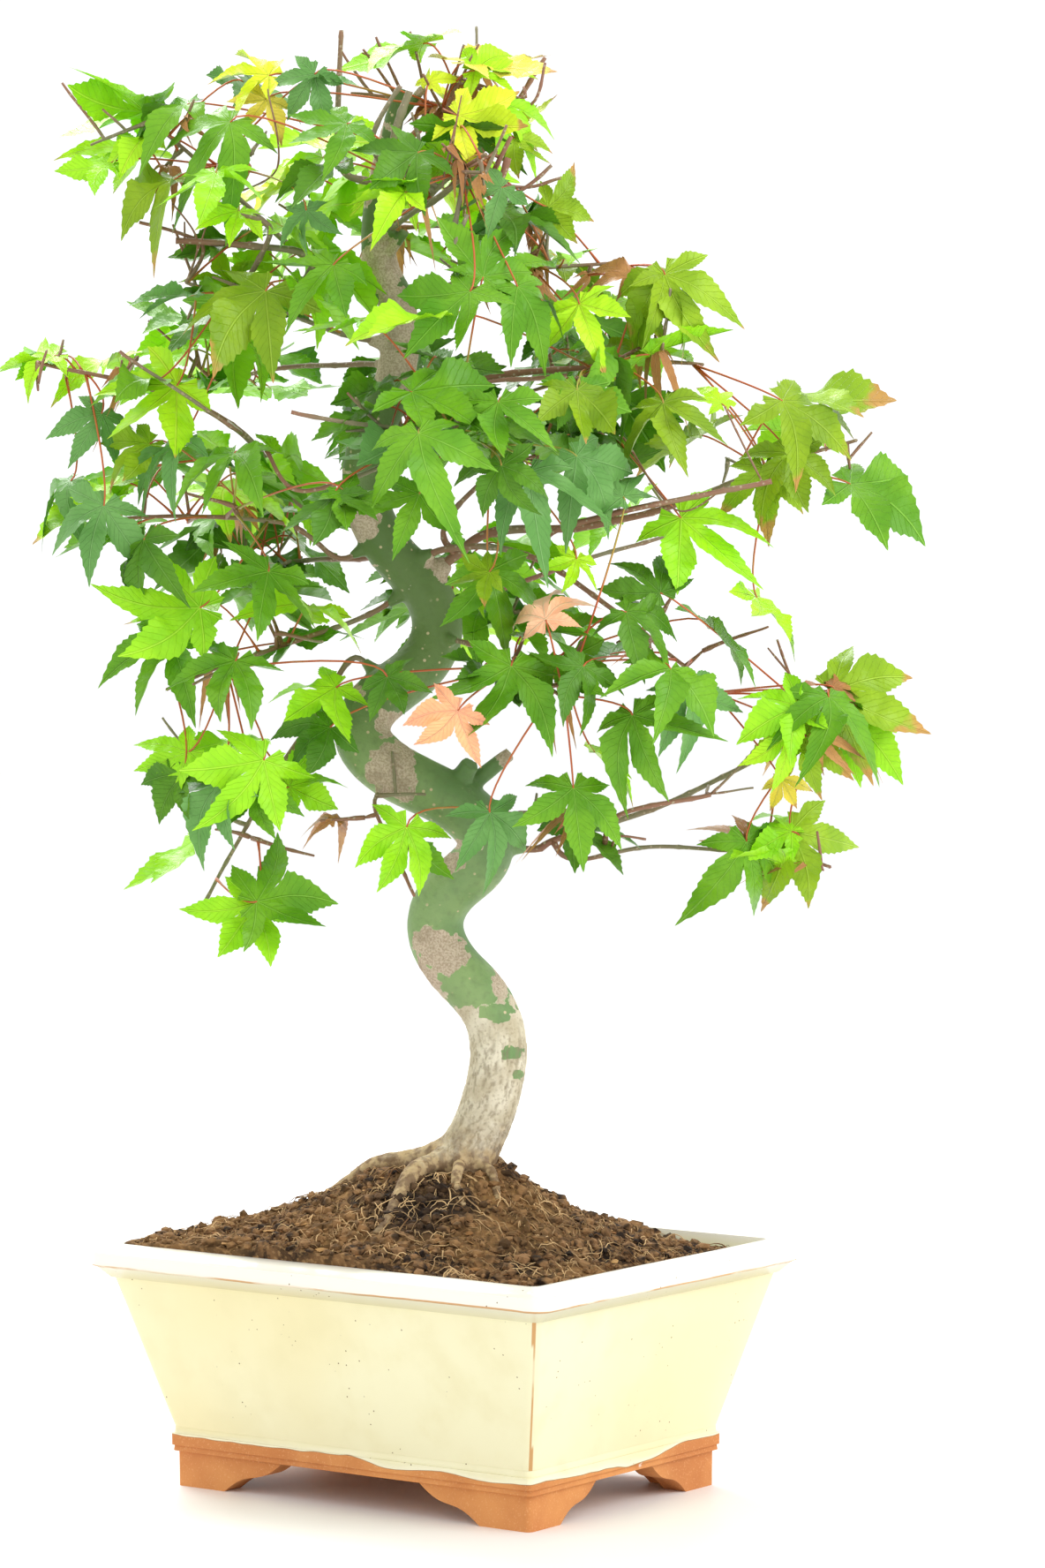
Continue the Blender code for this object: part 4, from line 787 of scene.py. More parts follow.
def leaf_finish(tint):
    """A leaf's colour from light to deep, with pale ribs and side veins, and browned tips."""
    light, deep, browned = TINTS[tint]
    finish = Finish(f"leaf_{tint}", 0.42, 0.24)
    uv = finish.place("UV")
    across = finish.apart(finish.axis("X", uv), 0.5)
    along = finish.axis("Y", uv)
    blade = finish.cloudy(deep, light, scale=55.0, detail=3.0, over=(0.32, 0.68))
    blade = finish.cloudy(blade, deep, scale=900.0, detail=2.0, over=(0.30, 0.75), most=0.30)
    rise = finish.math("MULTIPLY_ADD", across, -VEIN_LEAN, along)
    comb = finish.apart(finish.math("FRACT", finish.times(rise, VEINS)), 0.5)
    side_vein = finish.between(comb, *VEIN_EDGE)
    rib = finish.between(across, *RIB_EDGE)
    pale = tuple(min(1.0, part * PALER + PALER_BASE) for part in light)
    blade = finish.mix(finish.times(side_vein, VEIN_SHOWS), blade, pale)
    blade = finish.mix(finish.times(rib, RIB_SHOWS), blade, pale)
    if browned:
        reach = finish.math("MULTIPLY_ADD", finish.noise(120.0, 3.0), BROWN_RAGGED, along)
        start, full = (edge - BROWN_SPREAD * browned for edge in BROWN_EDGE)
        blade = finish.mix(finish.between(reach, start, full, 0.0, 0.9), blade, TIP_BROWN)
    finish.colour(blade)
    finish.roughness(finish.between(finish.noise(140.0), 0.3, 0.7, 0.28, 0.46))
    ribs = finish.math("MAXIMUM", finish.times(side_vein, 0.30), rib)
    relief = finish.math("MULTIPLY_ADD", finish.noise(260.0, 2.0), 1.3, ribs)
    finish.bump(relief, strength=0.80, distance=0.0005)
    return finish.material


def cream_glaze(finish, height):
    """Clouded cream with pin specks, paler at the rim and yellower inside."""
    cream = finish.cloudy(CREAM, LIGHT_CREAM, scale=9.0, detail=2.0, over=(0.35, 0.65))
    cream = finish.cloudy(cream, DULL_CREAM, scale=60.0, detail=4.0, over=(0.40, 0.75), most=0.45)
    paler = finish.between(height, *PALE_RIM)
    cream = finish.mix(finish.times(paler, 0.8), cream, RIM_CREAM)
    cream = finish.speckled(cream, SPECK_BROWN, scale=330.0, size=0.11, patches=50.0, over=(0.54, 0.60))
    return finish.mix(finish.times(finish.attribute("inner"), 0.85), cream, INNER_CREAM)


def thin_lines(finish, height):
    """Where the glaze runs thin: below the lip's face and down the walls' corners."""
    level = finish.math("MULTIPLY_ADD", finish.noise(40.0, 3.0), LIP_LINE_WAVES, height)
    off_line = finish.apart(level, LIP_LINE + LIP_LINE_WAVES / 2)
    worn = finish.between(finish.noise(32.0, 4.0), 0.38, 0.50, 0.25, 0.90)
    lip_line = finish.times(finish.between(off_line, LIP_LINE_WIDTH, LIP_LINE_WIDTH / 2), worn)
    lip_line = finish.times(lip_line, finish.attribute("outer"))
    corner_line = finish.times(finish.between(finish.attribute("thin"), 0.35, 0.75), worn)
    return finish.math("MAXIMUM", lip_line, corner_line)


def bare_clay(finish):
    """Grained orange clay with pale chips."""
    clay = finish.cloudy(CLAY, LIGHT_CLAY, scale=45.0, detail=4.0, over=(0.35, 0.70))
    clay = finish.cloudy(clay, CLAY_GRAIN, scale=1500.0, detail=2.0, over=(0.55, 0.75), most=0.5)
    return finish.speckled(clay, CLAY_CHIP, scale=120.0, size=0.16, patches=30.0, over=(0.60, 0.64))


def glaze_finish():
    """Cream glaze, brown where it runs thin, over bare clay below a wavy line."""
    finish = Finish("glaze", 0.20, 0.5)
    height = finish.axis("Z")
    cream = finish.mix(thin_lines(finish, height), cream_glaze(finish, height), THIN_BROWN)
    wave = finish.math("MULTIPLY_ADD", finish.noise(24.0, 2.5), GLAZE_WAVES, height)
    line = GLAZE_LINE + GLAZE_WAVES / 2
    glazed = finish.between(wave, line - GLAZE_EDGE, line + GLAZE_EDGE)
    above = finish.between(wave, *(line + rise for rise in FAT_EDGE))
    fat_edge = finish.math("SUBTRACT", glazed, above)
    cream = finish.mix(finish.times(fat_edge, 0.5), cream, FAT_CREAM)
    finish.colour(finish.mix(glazed, bare_clay(finish), cream))
    glossy = finish.between(finish.noise(14.0, 3.0), 0.3, 0.7, 0.12, 0.24)
    finish.roughness(finish.math("MULTIPLY_ADD", finish.math("SUBTRACT", 1.0, glazed), 0.6, glossy))
    step = finish.math("MULTIPLY_ADD", glazed, 0.5, finish.times(fat_edge, 0.5))
    finish.bump(step, strength=0.8, distance=0.0006)
    finish.bump(finish.noise(55.0, 3.0), strength=0.25, distance=0.0006)
    return finish.material


def soil_finish():
    """Brown soil with paler and blacker grains."""
    finish = Finish("soil", 0.95, 0.2)
    brown = finish.cloudy(DARK_SOIL, WARM_SOIL, scale=60.0, detail=5.0, over=(0.38, 0.62))
    brown = finish.cloudy(brown, PALE_SOIL, scale=500.0, detail=5.0, over=(0.48, 0.66), most=0.85)
    brown = finish.cloudy(brown, BLACK_SOIL, scale=330.0, detail=5.0, over=(0.50, 0.66), most=0.9)
    # The soil is given painted shade before the trunk's foot
    finish.colour(foot_shade_and_drifts(finish, brown))
    finish.bump(finish.noise(900.0, 6.0), strength=0.9, distance=0.0008)
    return finish.material


def foot_shade_and_drifts(finish, colour):
    """Painted shade: almost black soil in the shade before the trunk's foot; and richer brown in broad
    drifts elsewhere.
    """
    foot = PLACE @ Vector(FOOT_SHADE_PATCH)
    off = [finish.math("SUBTRACT", finish.axis(axis), centre) for axis, centre in zip("XY", foot)]
    square = finish.math("ADD", *(finish.times(part, part) for part in off))
    edge = FOOT_REACH**2 * FOOT_RAGGED
    ragged = finish.math("MULTIPLY_ADD", finish.noise(70.0, 4.0), edge, square)
    share = finish.between(ragged, edge, edge / 2)
    colour = finish.cloudy(colour, RICH_SOIL, scale=24.0, detail=3.0, over=(0.46, 0.60), most=0.35)
    return finish.mix(finish.times(share, 0.85), colour, FOOT_SHADE_SOIL)


def bits_finish(name):
    """Crumbs, chips or fibres that vary from one to the next."""
    dark, light, scale = BITS_LOOKS[name]
    finish = Finish(name, 0.9, 0.25)
    mixed = finish.cloudy(dark, light, scale=scale, detail=2.0, over=(0.35, 0.65))
    # Crumbs and chips are given the painted shade before the trunk's foot; fibres are not
    finish.colour(mixed if name == "fibres" else foot_shade_and_drifts(finish, mixed))
    finish.bump(finish.noise(1800.0, 4.0), strength=0.7, distance=0.0003)
    return finish.material


def stalk_finish():
    """Red leaf stalks, greener in places."""
    finish = Finish("leaf_stalks", 0.45)
    red = finish.mix(finish.noise(60.0), STALK_RED, STALK_ORANGE)
    finish.colour(finish.cloudy(red, STALK_GREEN, scale=16.0, detail=2.0, over=(0.52, 0.66)))
    finish.bump(finish.noise(900.0), strength=0.3, distance=0.0001)
    return finish.material


def twig_finish():
    """Brown twigs, grey green in places, with pale pores."""
    finish = Finish("twig_bark", 0.55)
    brown = finish.mix(finish.noise(45.0), TWIG_BROWN, TWIG_TAN)
    green = finish.mix(finish.noise(200.0), TWIG_GREEN, TWIG_GREY)
    patchy = finish.between(finish.noise(14.0, 3.0), 0.46, 0.58)
    skin = finish.mix(patchy, brown, green)
    finish.colour(finish.mix(finish.spots(600.0, 0.32), skin, TWIG_PORE))
    finish.bump(finish.noise(700.0, 4.0), strength=0.5, distance=0.0003)
    return finish.material


def green_bark(finish):
    """Smooth green bark in drifts, darkened in the crown by painted shade under the leaves, with pale
    flecks.
    """
    green = finish.cloudy(BARK_GREEN, LIGHT_GREEN, scale=28.0, detail=4.0, over=(0.35, 0.65))
    green = finish.cloudy(green, DULL_GREEN, scale=420.0, detail=4.0, over=(0.45, 0.75), most=0.35)
    # Painted shade: the bark darkens up in the crown, where the leaves shade it
    green = finish.mix(finish.between(finish.axis("Z"), *CROWN_SHADE_HEIGHTS, 0.0, 0.70), green, CROWN_SHADE_GREEN)
    return finish.speckled(green, BARK_FLECK, scale=300.0, size=0.20, patches=55.0, over=(0.46, 0.52))


def foot_bark(finish, skin):
    """Browner bark on the roots, dark where they enter the soil."""
    height = finish.math("MULTIPLY_ADD", finish.noise(160.0, 4.0), 0.020, finish.axis("Z"))
    root = finish.cloudy(ROOT_BROWN, ROOT_TAN, scale=300.0, detail=4.0, over=(0.42, 0.60))
    skin = finish.mix(finish.between(height, *ROOT_BARK, 0.0, 0.92), skin, root)
    return finish.mix(finish.between(height, *ROOT_FOOT_DARKENING, 0.0, 0.60), skin, ROOT_FOOT_DARK)


def bark_finish():
    """Smooth green bark with flecks, rough tan patches, and pale fissured bark at the foot."""
    finish = Finish("bark", 0.60, 0.35)
    tan = finish.cloudy(BARK_TAN, LIGHT_TAN, scale=1500.0, detail=5.0, over=(0.36, 0.64))
    tan = finish.cloudy(tan, DARK_TAN, scale=160.0, detail=4.0, over=(0.50, 0.70), most=0.5)
    pale = finish.cloudy(BARK_PALE, LIGHT_PALE, scale=110.0, detail=5.0, over=(0.35, 0.65))
    pale = finish.cloudy(pale, DARK_PALE, scale=900.0, detail=4.0, over=(0.50, 0.72), most=0.6)
    patches = finish.math("SUBTRACT", finish.attribute("tan"), 0.45)
    edge = finish.math("MULTIPLY_ADD", finish.noise(420.0, 5.0), 0.90, patches)
    skin = finish.mix(finish.between(edge, 0.46, 0.52), green_bark(finish), tan)
    rim = finish.math("SUBTRACT", finish.between(edge, 0.42, 0.46), finish.between(edge, 0.47, 0.52))
    skin = finish.mix(finish.times(rim, 0.6), skin, PATCH_RIM)
    base = finish.times(finish.between(edge, 0.5, 0.6), finish.attribute("base"))
    skin = finish.mix(base, skin, pale)
    skin = finish.mix(finish.times(finish.attribute("fissure"), 0.60), skin, FISSURE_BROWN)
    finish.colour(foot_bark(finish, skin))
    finish.roughness(finish.between(edge, 0.44, 0.54, 0.52, 0.88))
    finish.bump(finish.noise(650.0, 5.0), strength=0.55, distance=0.0005)
    return finish.material


# The solids' rule: trunk, limbs and spaces


def taper(start, end, steps):
    """Values that run evenly from start to end."""
    return [start + (end - start) * step / steps for step in range(steps + 1)]


def level_at(turn):
    """The level direction at a turn."""
    return Vector((math.cos(turn), math.sin(turn), 0))


def drooping(heading, droop):
    """The forward and upward directions of a blade with a level heading that droops."""
    forward = heading * math.cos(droop) - Vector((0, 0, math.sin(droop)))
    normal = heading * math.sin(droop) + Vector((0, 0, math.cos(droop)))
    return forward, normal


def curve_point(start, corner, end, share):
    """The point at a share of the curve that bends at a corner."""
    return start.lerp(corner, share).lerp(corner.lerp(end, share), share)


def heading_at(path, index):
    """A path's direction at one of its points."""
    return (path[min(index + 1, len(path) - 1)] - path[max(index - 1, 0)]).normalized()


def smooth_path(corners, steps):
    """A path that starts and ends at the end corners and bends smoothly at the others."""
    corners = [Vector(corner) for corner in corners]
    if len(corners) == 2:
        return [corners[0].lerp(corners[1], step / steps) for step in range(steps + 1)]
    path = [corners[0]]
    for index in range(1, len(corners) - 1):
        before, corner, after = corners[index - 1 : index + 2]
        start = before if index == 1 else (before + corner) / 2
        end = after if index == len(corners) - 2 else (corner + after) / 2
        path += [curve_point(start, corner, end, step / steps) for step in range(1, steps + 1)]
    return path


def trunk_path(steps=TRUNK_STEPS):
    return smooth_path(TRUNK_CORNERS, steps)


def trunk_at(height):
    """The trunk's middle, direction and radius at a height."""
    path = trunk_path()
    for low, high in zip(path, path[1:]):
        if low.z <= height <= high.z:
            middle = low.lerp(high, (height - low.z) / (high.z - low.z))
            return middle, (high - low).normalized(), interpolate(TRUNK_RADII, height)
    raise ValueError(f"no trunk at height {height}")


def mound_height(across, away):
    """Height of the soil's surface at a place in the front view."""
    distance = math.hypot(across - MOUND_ACROSS, away - MOUND_AWAY)
    slope = MOUND_RISE * math.exp(-((distance / MOUND_SPREAD) ** MOUND_POWER))
    return min(PLATEAU, SOIL_LEVEL - SOIL_TILT * across + slope)


def root_path(direction, length, steps):
    """A root's path from inside the trunk's foot down the mound, sinking in at its end."""
    foot, _, _ = trunk_at(PLATEAU)
    turn = math.radians(direction)
    path = [foot + Vector((0, 0, ROOT_START_HEIGHT))]
    for step in range(1, steps + 1):
        share = step / steps
        bend = ROOT_BEND * math.sin(ROOT_WAVES * share + direction)
        out = ROOT_START_OUT + length * share
        across = foot.x + out * math.cos(turn + bend * share)
        away = foot.y + out * math.sin(turn + bend * share)
        above = ROOT_ARCH * (1 - share) ** 2 - ROOT_REST * share**2
        path.append(Vector((across, away, mound_height(across, away) + above)))
    return path


def limb_start(middle, along, radius, towards):
    """The point on a limb's side that faces a target, and the direction out of it."""
    out = Vector(towards) - middle
    out = (out - out.dot(along) * along).normalized()
    return middle + out * radius, out


class Limb(NamedTuple):
    """A bough's path and radii up to its mass, the stem's path on from there, and its first point."""

    bough: list
    radii: list
    stem: list
    root: Vector


def support(reach, direction):
    """Half an ellipsoid's extent along a direction."""
    return math.sqrt(sum((half * part) ** 2 for half, part in zip(reach, direction)))


def smooth_limb(mass, start, out):
    """A limb's path from its collar by its corners to its mass's middle and on to its far side."""
    centre = Vector(mass.centre)
    lead = start + out * LIMB_LEAD
    corners = [lead, lead + out * LIMB_RUN_OUT, *map(Vector, mass.via), centre]
    heading = (centre - corners[-2]).normalized()
    beyond = heading * STEM_REACH * support(mass.reach, heading)
    dip = Vector((0, 0, STEM_DIP * mass.reach[2]))
    return [start, *smooth_path([*corners, centre + beyond - dip], LIMB_STEPS)]


class Space:
    """The space of one mass: its ellipsoid, cut by a plane before each other mass."""

    def __init__(self, mass, masses):
        self.centre = Vector(mass.centre)
        self.reach = Vector(mass.reach)
        self.planes = []
        for other in masses:
            if other is mass:
                continue
            towards = Vector(other.centre) - self.centre
            distance = towards.length
            towards.normalize()
            own, others = support(mass.reach, towards), support(other.reach, towards)
            self.planes.append((towards, distance * own / (own + others) - GAP))

    def reaches(self, point):
        return sum((part / half) ** 2 for part, half in zip(point - self.centre, self.reach)) <= 1

    def holds(self, point):
        offset = point - self.centre
        return self.reaches(point) and all(offset.dot(normal) < limit for normal, limit in self.planes)


def plan_limb(mass, space, limbs):
    """Where a mass's bough and stem run."""
    if mass.carrier == "trunk":
        middle, along, radius = trunk_at(mass.start)
    else:
        parent = limbs[mass.carrier]
        index = max(1, round(mass.start * (len(parent.bough) - 1)))
        middle, radius = parent.bough[index], parent.radii[index]
        along = (parent.bough[index] - parent.bough[index - 1]).normalized()
    aim = mass.via[0] if mass.via else mass.centre
    side, out = limb_start(middle, along, radius, aim)
    collar_length = COLLAR_LENGTH if mass.carrier == "trunk" else BEND_ROOM
    collar_end = side + out * collar_length
    path = smooth_limb(mass, collar_end + out * GAP, out)
    entry = next(index for index, point in enumerate(path) if space.holds(point))
    if (path[entry] - path[0]).length < SHORTEST_BOUGH:
        return Limb([], [], path, middle)
    entry = min(entry + 1, len(path) - 2)
    bough, stem = path[: entry + 1], path[entry:]
    end_radius = max(BOUGH_END_RADIUS, BOUGH_END_SHARE * mass.radius)
    along = (bough[-1] - bough[-2]).normalized()
    stem = [stem[0] + along * GAP, stem[0] + along * LIMB_LEAD, *stem[1:]]
    return Limb(bough, taper(mass.radius, end_radius, entry), stem, middle)


# The solids' rule: twigs and leaves


class Leaf(NamedTuple):
    base: Vector
    forward: Vector
    normal: Vector
    length: float


class LeafKind(NamedTuple):
    """How a mass's leaves are drawn, and how often each is tried."""

    depth: tuple
    length: tuple
    droop: tuple
    roll: float
    tries: int


FIRST_KIND = LeafKind(LEAF_DEPTH, LEAF_LENGTH, LEAF_DROOP, LEAF_ROLL, LEAF_TRIES)
MORE_KIND = LeafKind(MORE_DEPTH, MORE_LENGTH, MORE_DROOP, MORE_ROLL, MORE_TRIES)


class Growth:
    """What has grown in a mass: its shoots, its leaves with their joints, and what they must miss."""

    def __init__(self, stem, joints):
        self.shoots = []
        self.leaves = []
        self.joints = joints
        self.ways = list(zip(stem, stem[1:]))
        self.leaf_trees = []
        self.near = [self]


def leaf_outline():
    """The rough outline of a leaf as (angle, share of its length), from lobe to lobe over its tip."""
    half = sorted(LEAF_LOBES[1:] + LEAF_NOTCHES)
    right = [(-angle, share) for angle, share in reversed(half)]
    return [*right, LEAF_LOBES[0], *half]


def leaf_points(leaf):
    """The points round a rough leaf's edge and then the three of its heel."""
    across = leaf.normal.cross(leaf.forward)
    points = []
    for angle, share in leaf_outline():
        turn = math.radians(angle)
        flat = leaf.forward * math.cos(turn) + across * math.sin(turn)
        sag = leaf.normal * LEAF_SAG * share * share
        points.append(leaf.base + (flat * share - sag) * leaf.length)
    along = -leaf.forward
    up = (leaf.normal - leaf.normal.dot(along) * along).normalized()
    side = along.cross(up)
    for turn in (0, math.tau / 3, -math.tau / 3):
        points.append(leaf.base + HEEL_RADIUS * (up * math.cos(turn) + side * math.sin(turn)))
    return points


def leaf_faces():
    """The triangles of a rough leaf: a fan from the top of its heel, and one from its lower points."""
    last = len(leaf_outline()) - 1
    tip = last // 2
    top, left, right = last + 1, last + 2, last + 3
    faces = [(top, right, 0), (top, last, left), (right, left, tip)]
    for here in range(last):
        faces.append((top, here, here + 1))
        faces.append((right if here < tip else left, here + 1, here))
    return faces


def spread_directions(count, draws):
    """Directions spread evenly over all but the underside of a sphere, from a random turn."""
    turn = draws.uniform(0, math.tau)
    directions = []
    for index in range(count):
        height = SPREAD_TOP + (SPREAD_BOTTOM - SPREAD_TOP) * (index + 0.5) / count
        level = math.sqrt(max(0.0, 1 - height * height))
        angle = turn + index * GOLDEN_ANGLE
        directions.append(Vector((level * math.cos(angle), level * math.sin(angle), height)))
    return directions


def point_in(mass, direction, depth):
    """The point of a mass's space in a direction, at a share of its reach."""
    return Vector(mass.centre) + Vector([half * part * depth for half, part in zip(mass.reach, direction)])


def draw_leaf(mass, direction, depth, kind, draws):
    """A leaf whose blade is centred in a direction from a mass's middle, turned outwards and drooping."""
    outward = Vector((mass.centre[0], mass.centre[1], 0)).normalized()
    heading = Vector((direction.x, direction.y, 0)) + outward * LEAF_OUTWARD
    heading = Matrix.Rotation(draws.uniform(-LEAF_SPREAD, LEAF_SPREAD), 3, "Z") @ heading.normalized()
    droop = math.radians(draws.uniform(*kind.droop) - LEAF_LIFT * max(0.0, direction.z))
    forward, normal = drooping(heading, droop)
    normal = Matrix.Rotation(draws.uniform(-kind.roll, kind.roll), 3, forward) @ normal
    length = draws.uniform(*kind.length)
    base = point_in(mass, direction, depth) - forward * length * LEAF_BALANCE
    return Leaf(base, forward, normal, length)


def clear_way(start, end, trees):
    """Whether a straight twig passes no limb and no leaf."""
    run = end - start
    return all(tree.ray_cast(start, run.normalized(), run.length)[0] is None for tree in trees)


def spaced_points(path, spacing=JOINT_SPACING):
    """Points along a path at the spacing of its leaf joints, from one spacing in up to its end."""
    points = []
    left = spacing
    for start, end in zip(path, path[1:]):
        run = end - start
        travelled = left
        while travelled <= run.length:
            points.append(start + run * (travelled / run.length))
            travelled += spacing
        left = travelled - run.length
    return points


def nearest_behind(leaf, joints):
    """The nearest joint that lies behind a leaf, so that its stalk runs straight on from its blade."""
    behind = []
    for joint in joints:
        run = joint - leaf.base
        if run.length > SHORTEST_STALK and run.normalized().dot(leaf.forward) < STALK_TURN:
            behind.append(joint)
    return min(behind, key=lambda joint: (joint - leaf.base).length, default=None)


def grow_shoots(mass, growth, holds, limb_tree, count, depths, draws):
    """Shoots from the nearest joints towards tips spread through a mass's space."""
    for direction in spread_directions(count, draws):
        tip = point_in(mass, direction, draws.uniform(*depths))
        start = nearest(growth.joints, tip)
        long_enough = (tip - start).length > JOINT_SPACING
        if holds(tip) and long_enough and clear_way(start, tip, [limb_tree]):
            growth.shoots.append((start, tip))
            growth.joints.remove(start)
            growth.joints += spaced_points([start, tip])
            growth.ways.append((start, tip))


def grow_leaves(mass, growth, holds, limb_tree, count, kind, draws):
    """Leaves spread over a mass, each on the nearest free joint behind it."""
    leaf_trees = [tree for near in growth.near for tree in near.leaf_trees]
    ways = [way for near in growth.near for way in near.ways]
    for direction in spread_directions(count, draws):
        for attempt in range(kind.tries):
            depth = draws.uniform(*kind.depth) * (1 - DEPTH_LOSS * attempt / kind.tries)
            leaf = draw_leaf(mass, direction, depth, kind, draws)
            points = leaf_points(leaf)
            if not all(holds(point) for point in points):
                continue
            tree = BVHTree.FromPolygons(points, leaf_faces())
            if tree.overlap(limb_tree) or any(tree.overlap(other) for other in leaf_trees):
                continue
            if not all(clear_way(start, end, [tree]) for start, end in ways):
                continue
            joint = nearest_behind(leaf, growth.joints)
            if joint is None or not clear_way(joint, leaf.base, [limb_tree, *leaf_trees]):
                continue
            growth.joints.remove(joint)
            growth.ways.append((joint, leaf.base))
            growth.leaves.append((leaf, joint))
            growth.leaf_trees.append(tree)
            ways.append((joint, leaf.base))
            leaf_trees.append(tree)
            break


def leaf_count(mass):
    across, away, up = mass.reach
    return max(4, round(LEAVES_PER_AREA * (across * away + across * up + away * up)))


def grow_as_solid(mass, index, stem, space, limb_tree):
    """A mass's shoots and leaves just as its solid has them."""
    draws = random.Random(SEED + index)
    growth = Growth(stem, [point for point in spaced_points(stem) if space.holds(point)])
    shoots = max(1, round(leaf_count(mass) * SHOOTS_PER_LEAF))
    grow_shoots(mass, growth, space.holds, limb_tree, shoots, SHOOT_DEPTH, draws)
    grow_leaves(mass, growth, space.holds, limb_tree, leaf_count(mass), FIRST_KIND, draws)
    return growth


def nearest(points, place):
    return min(points, key=lambda point: (point - place).length)


def front_leaf(wanted, draws):
    """A leaf of the front view, tipped and rolled a little at random."""
    heading = math.radians(wanted.heading)
    lean = math.radians(wanted.forward)
    look = math.radians(wanted.upward)
    flatter = smoothstep(*FRONT_LEVEL, wanted.height)
    lean -= draws.uniform(*FRONT_LEAN) * math.sin(heading) * flatter
    look += draws.uniform(*FRONT_LOOK) * flatter
    level = Vector((math.cos(heading), 0, math.sin(heading)))
    forward = level * math.cos(lean) - Vector((0, math.sin(lean), 0))
    side = draws.uniform(-FRONT_ROLL, FRONT_ROLL)
    normal = Vector((side, -math.cos(look), math.sin(look)))
    normal = (normal - normal.dot(forward) * forward).normalized()
    base = Vector((wanted.across, wanted.away, wanted.height)) / MILLIMETRES
    return Leaf(base, forward, normal, wanted.length / MILLIMETRES)


def grow_front(growths):
    """The leaves that stand out in the front view, each on the nearest joint, behind it if one is."""
    front = Growth([], [])
    joints = [joint for growth in growths.values() for joint in growth.joints]
    draws = random.Random(FRONT_SEED)
    for wanted in FRONT_LEAVES:
        leaf = front_leaf(wanted, draws)
        joint = nearest_behind(leaf, joints) or nearest(joints, leaf.base)
        front.leaves.append((leaf, joint))
        front.ways.append((joint, leaf.base))
        front.leaf_trees.append(BVHTree.FromPolygons(leaf_points(leaf), leaf_faces()))
    return front


def leaf_middle(leaf):
    return leaf.base + leaf.forward * leaf.length * LEAF_BALANCE


def hides_front(leaf, front):
    """Whether a leaf stands before the middle of a front leaf."""
    for other, _ in front.leaves:
        off = leaf_middle(leaf) - leaf_middle(other)
        near = math.hypot(off.x, off.z) < (leaf.length + other.length) * CLEAR_SHARE
        if near and off.y < CLEAR_DEPTH:
            return True
    return False


def clear_front(growths, front):
    """Thin out the masses, and leave out the leaves that would hide a front leaf."""
    draws = random.Random(THINNING_SEED)
    for name, growth in growths.items():
        kept_share = KEPT.get(name, OTHERS_KEPT)
        drawn = [pair for pair in growth.leaves if draws.random() <= kept_share]
        growth.leaves = [(leaf, joint) for leaf, joint in drawn if not hides_front(leaf, front)]


def grow_finer(limbs, growths, front, spaces, limb_tree):
    """More shoots and leaves in every mass, within the reach of all the masses together."""

    def holds(point):
        return any(space.reaches(point) for space in spaces.values())

    for index, mass in enumerate(MASSES):
        growth = growths[mass.name]
        centre = Vector(mass.centre)
        growth.near = [
            growths[other.name]
            for other in MASSES
            if (Vector(other.centre) - centre).length < NEIGHBOUR_REACH
        ]
        growth.near.append(front)
        draws = random.Random(SEED + len(MASSES) + index)
        for path in [limbs[mass.name].bough, limbs[mass.name].stem, *growth.shoots]:
            growth.joints += [point for point in spaced_points(path, MORE_SPACING) if holds(point)]
        shoots = max(2, round(leaf_count(mass) * MORE_SHOOTS))
        grow_shoots(mass, growth, holds, limb_tree, shoots, MORE_SHOOT_DEPTH, draws)
        more = round(leaf_count(mass) * MORE_LEAVES)
        grow_leaves(mass, growth, holds, limb_tree, more, MORE_KIND, draws)


def clear_surface(path, radii):
    """The points and faces round a limb, wider than it by the clearance that foliage keeps."""
    points, faces = [], []
    for index, point in enumerate(path):
        along = heading_at(path, index)
        side = along.orthogonal().normalized() * (radii[index] + CLEARANCE)
        for corner in range(CLEARANCE_SIDES):
            points.append(point + Matrix.Rotation(math.tau * corner / CLEARANCE_SIDES, 3, along) @ side)
    for first in range(0, (len(path) - 1) * CLEARANCE_SIDES, CLEARANCE_SIDES):
        for corner in range(CLEARANCE_SIDES):
            here, after = first + corner, first + (corner + 1) % CLEARANCE_SIDES
            faces.append((here, after, after + CLEARANCE_SIDES, here + CLEARANCE_SIDES))
    return points, faces


def limb_surface(limbs):
    """The trunk, the boughs and the bare shoots as one surface that foliage stays outside."""
    path = trunk_path()
    courses = [(path, [interpolate(TRUNK_RADII, point.z) for point in path])]
    for limb in limbs.values():
        if limb.bough:
            courses.append(([*limb.bough, limb.stem[1]], [*limb.radii, limb.radii[-1]]))
    for _, _, radius, corners in BARE_SHOOTS:
        path = smooth_path(corners, LIMB_STEPS)
        courses.append((path, [radius] * len(path)))
    points, faces = [], []
    for path, radii in courses:
        first = len(points)
        more_points, more_faces = clear_surface(path, radii)
        points += more_points
        faces += [[first + corner for corner in face] for face in more_faces]
    return BVHTree.FromPolygons(points, faces)


# Tubes


class Shape:
    """Points and faces gathered for one joined mesh, with values kept on the points."""

    def __init__(self):
        self.points = []
        self.faces = []
        self.uvs = []

    def add(self, points, faces, uvs=()):
        first = len(self.points)
        self.points += points
        self.faces += [tuple(first + corner for corner in face) for face in faces]
        self.uvs += uvs

    def mesh(self, name, place, smooth=True):
        made = bpy.data.meshes.new(name)
        made.from_pydata([tuple(place @ Vector(point)) for point in self.points], [], self.faces)
        if self.uvs:
            layer = made.uv_layers.new(name="UVMap")
            for loop in made.loops:
                layer.data[loop.index].uv = self.uvs[loop.vertex_index]
        if smooth:
            made.shade_smooth()
        return made


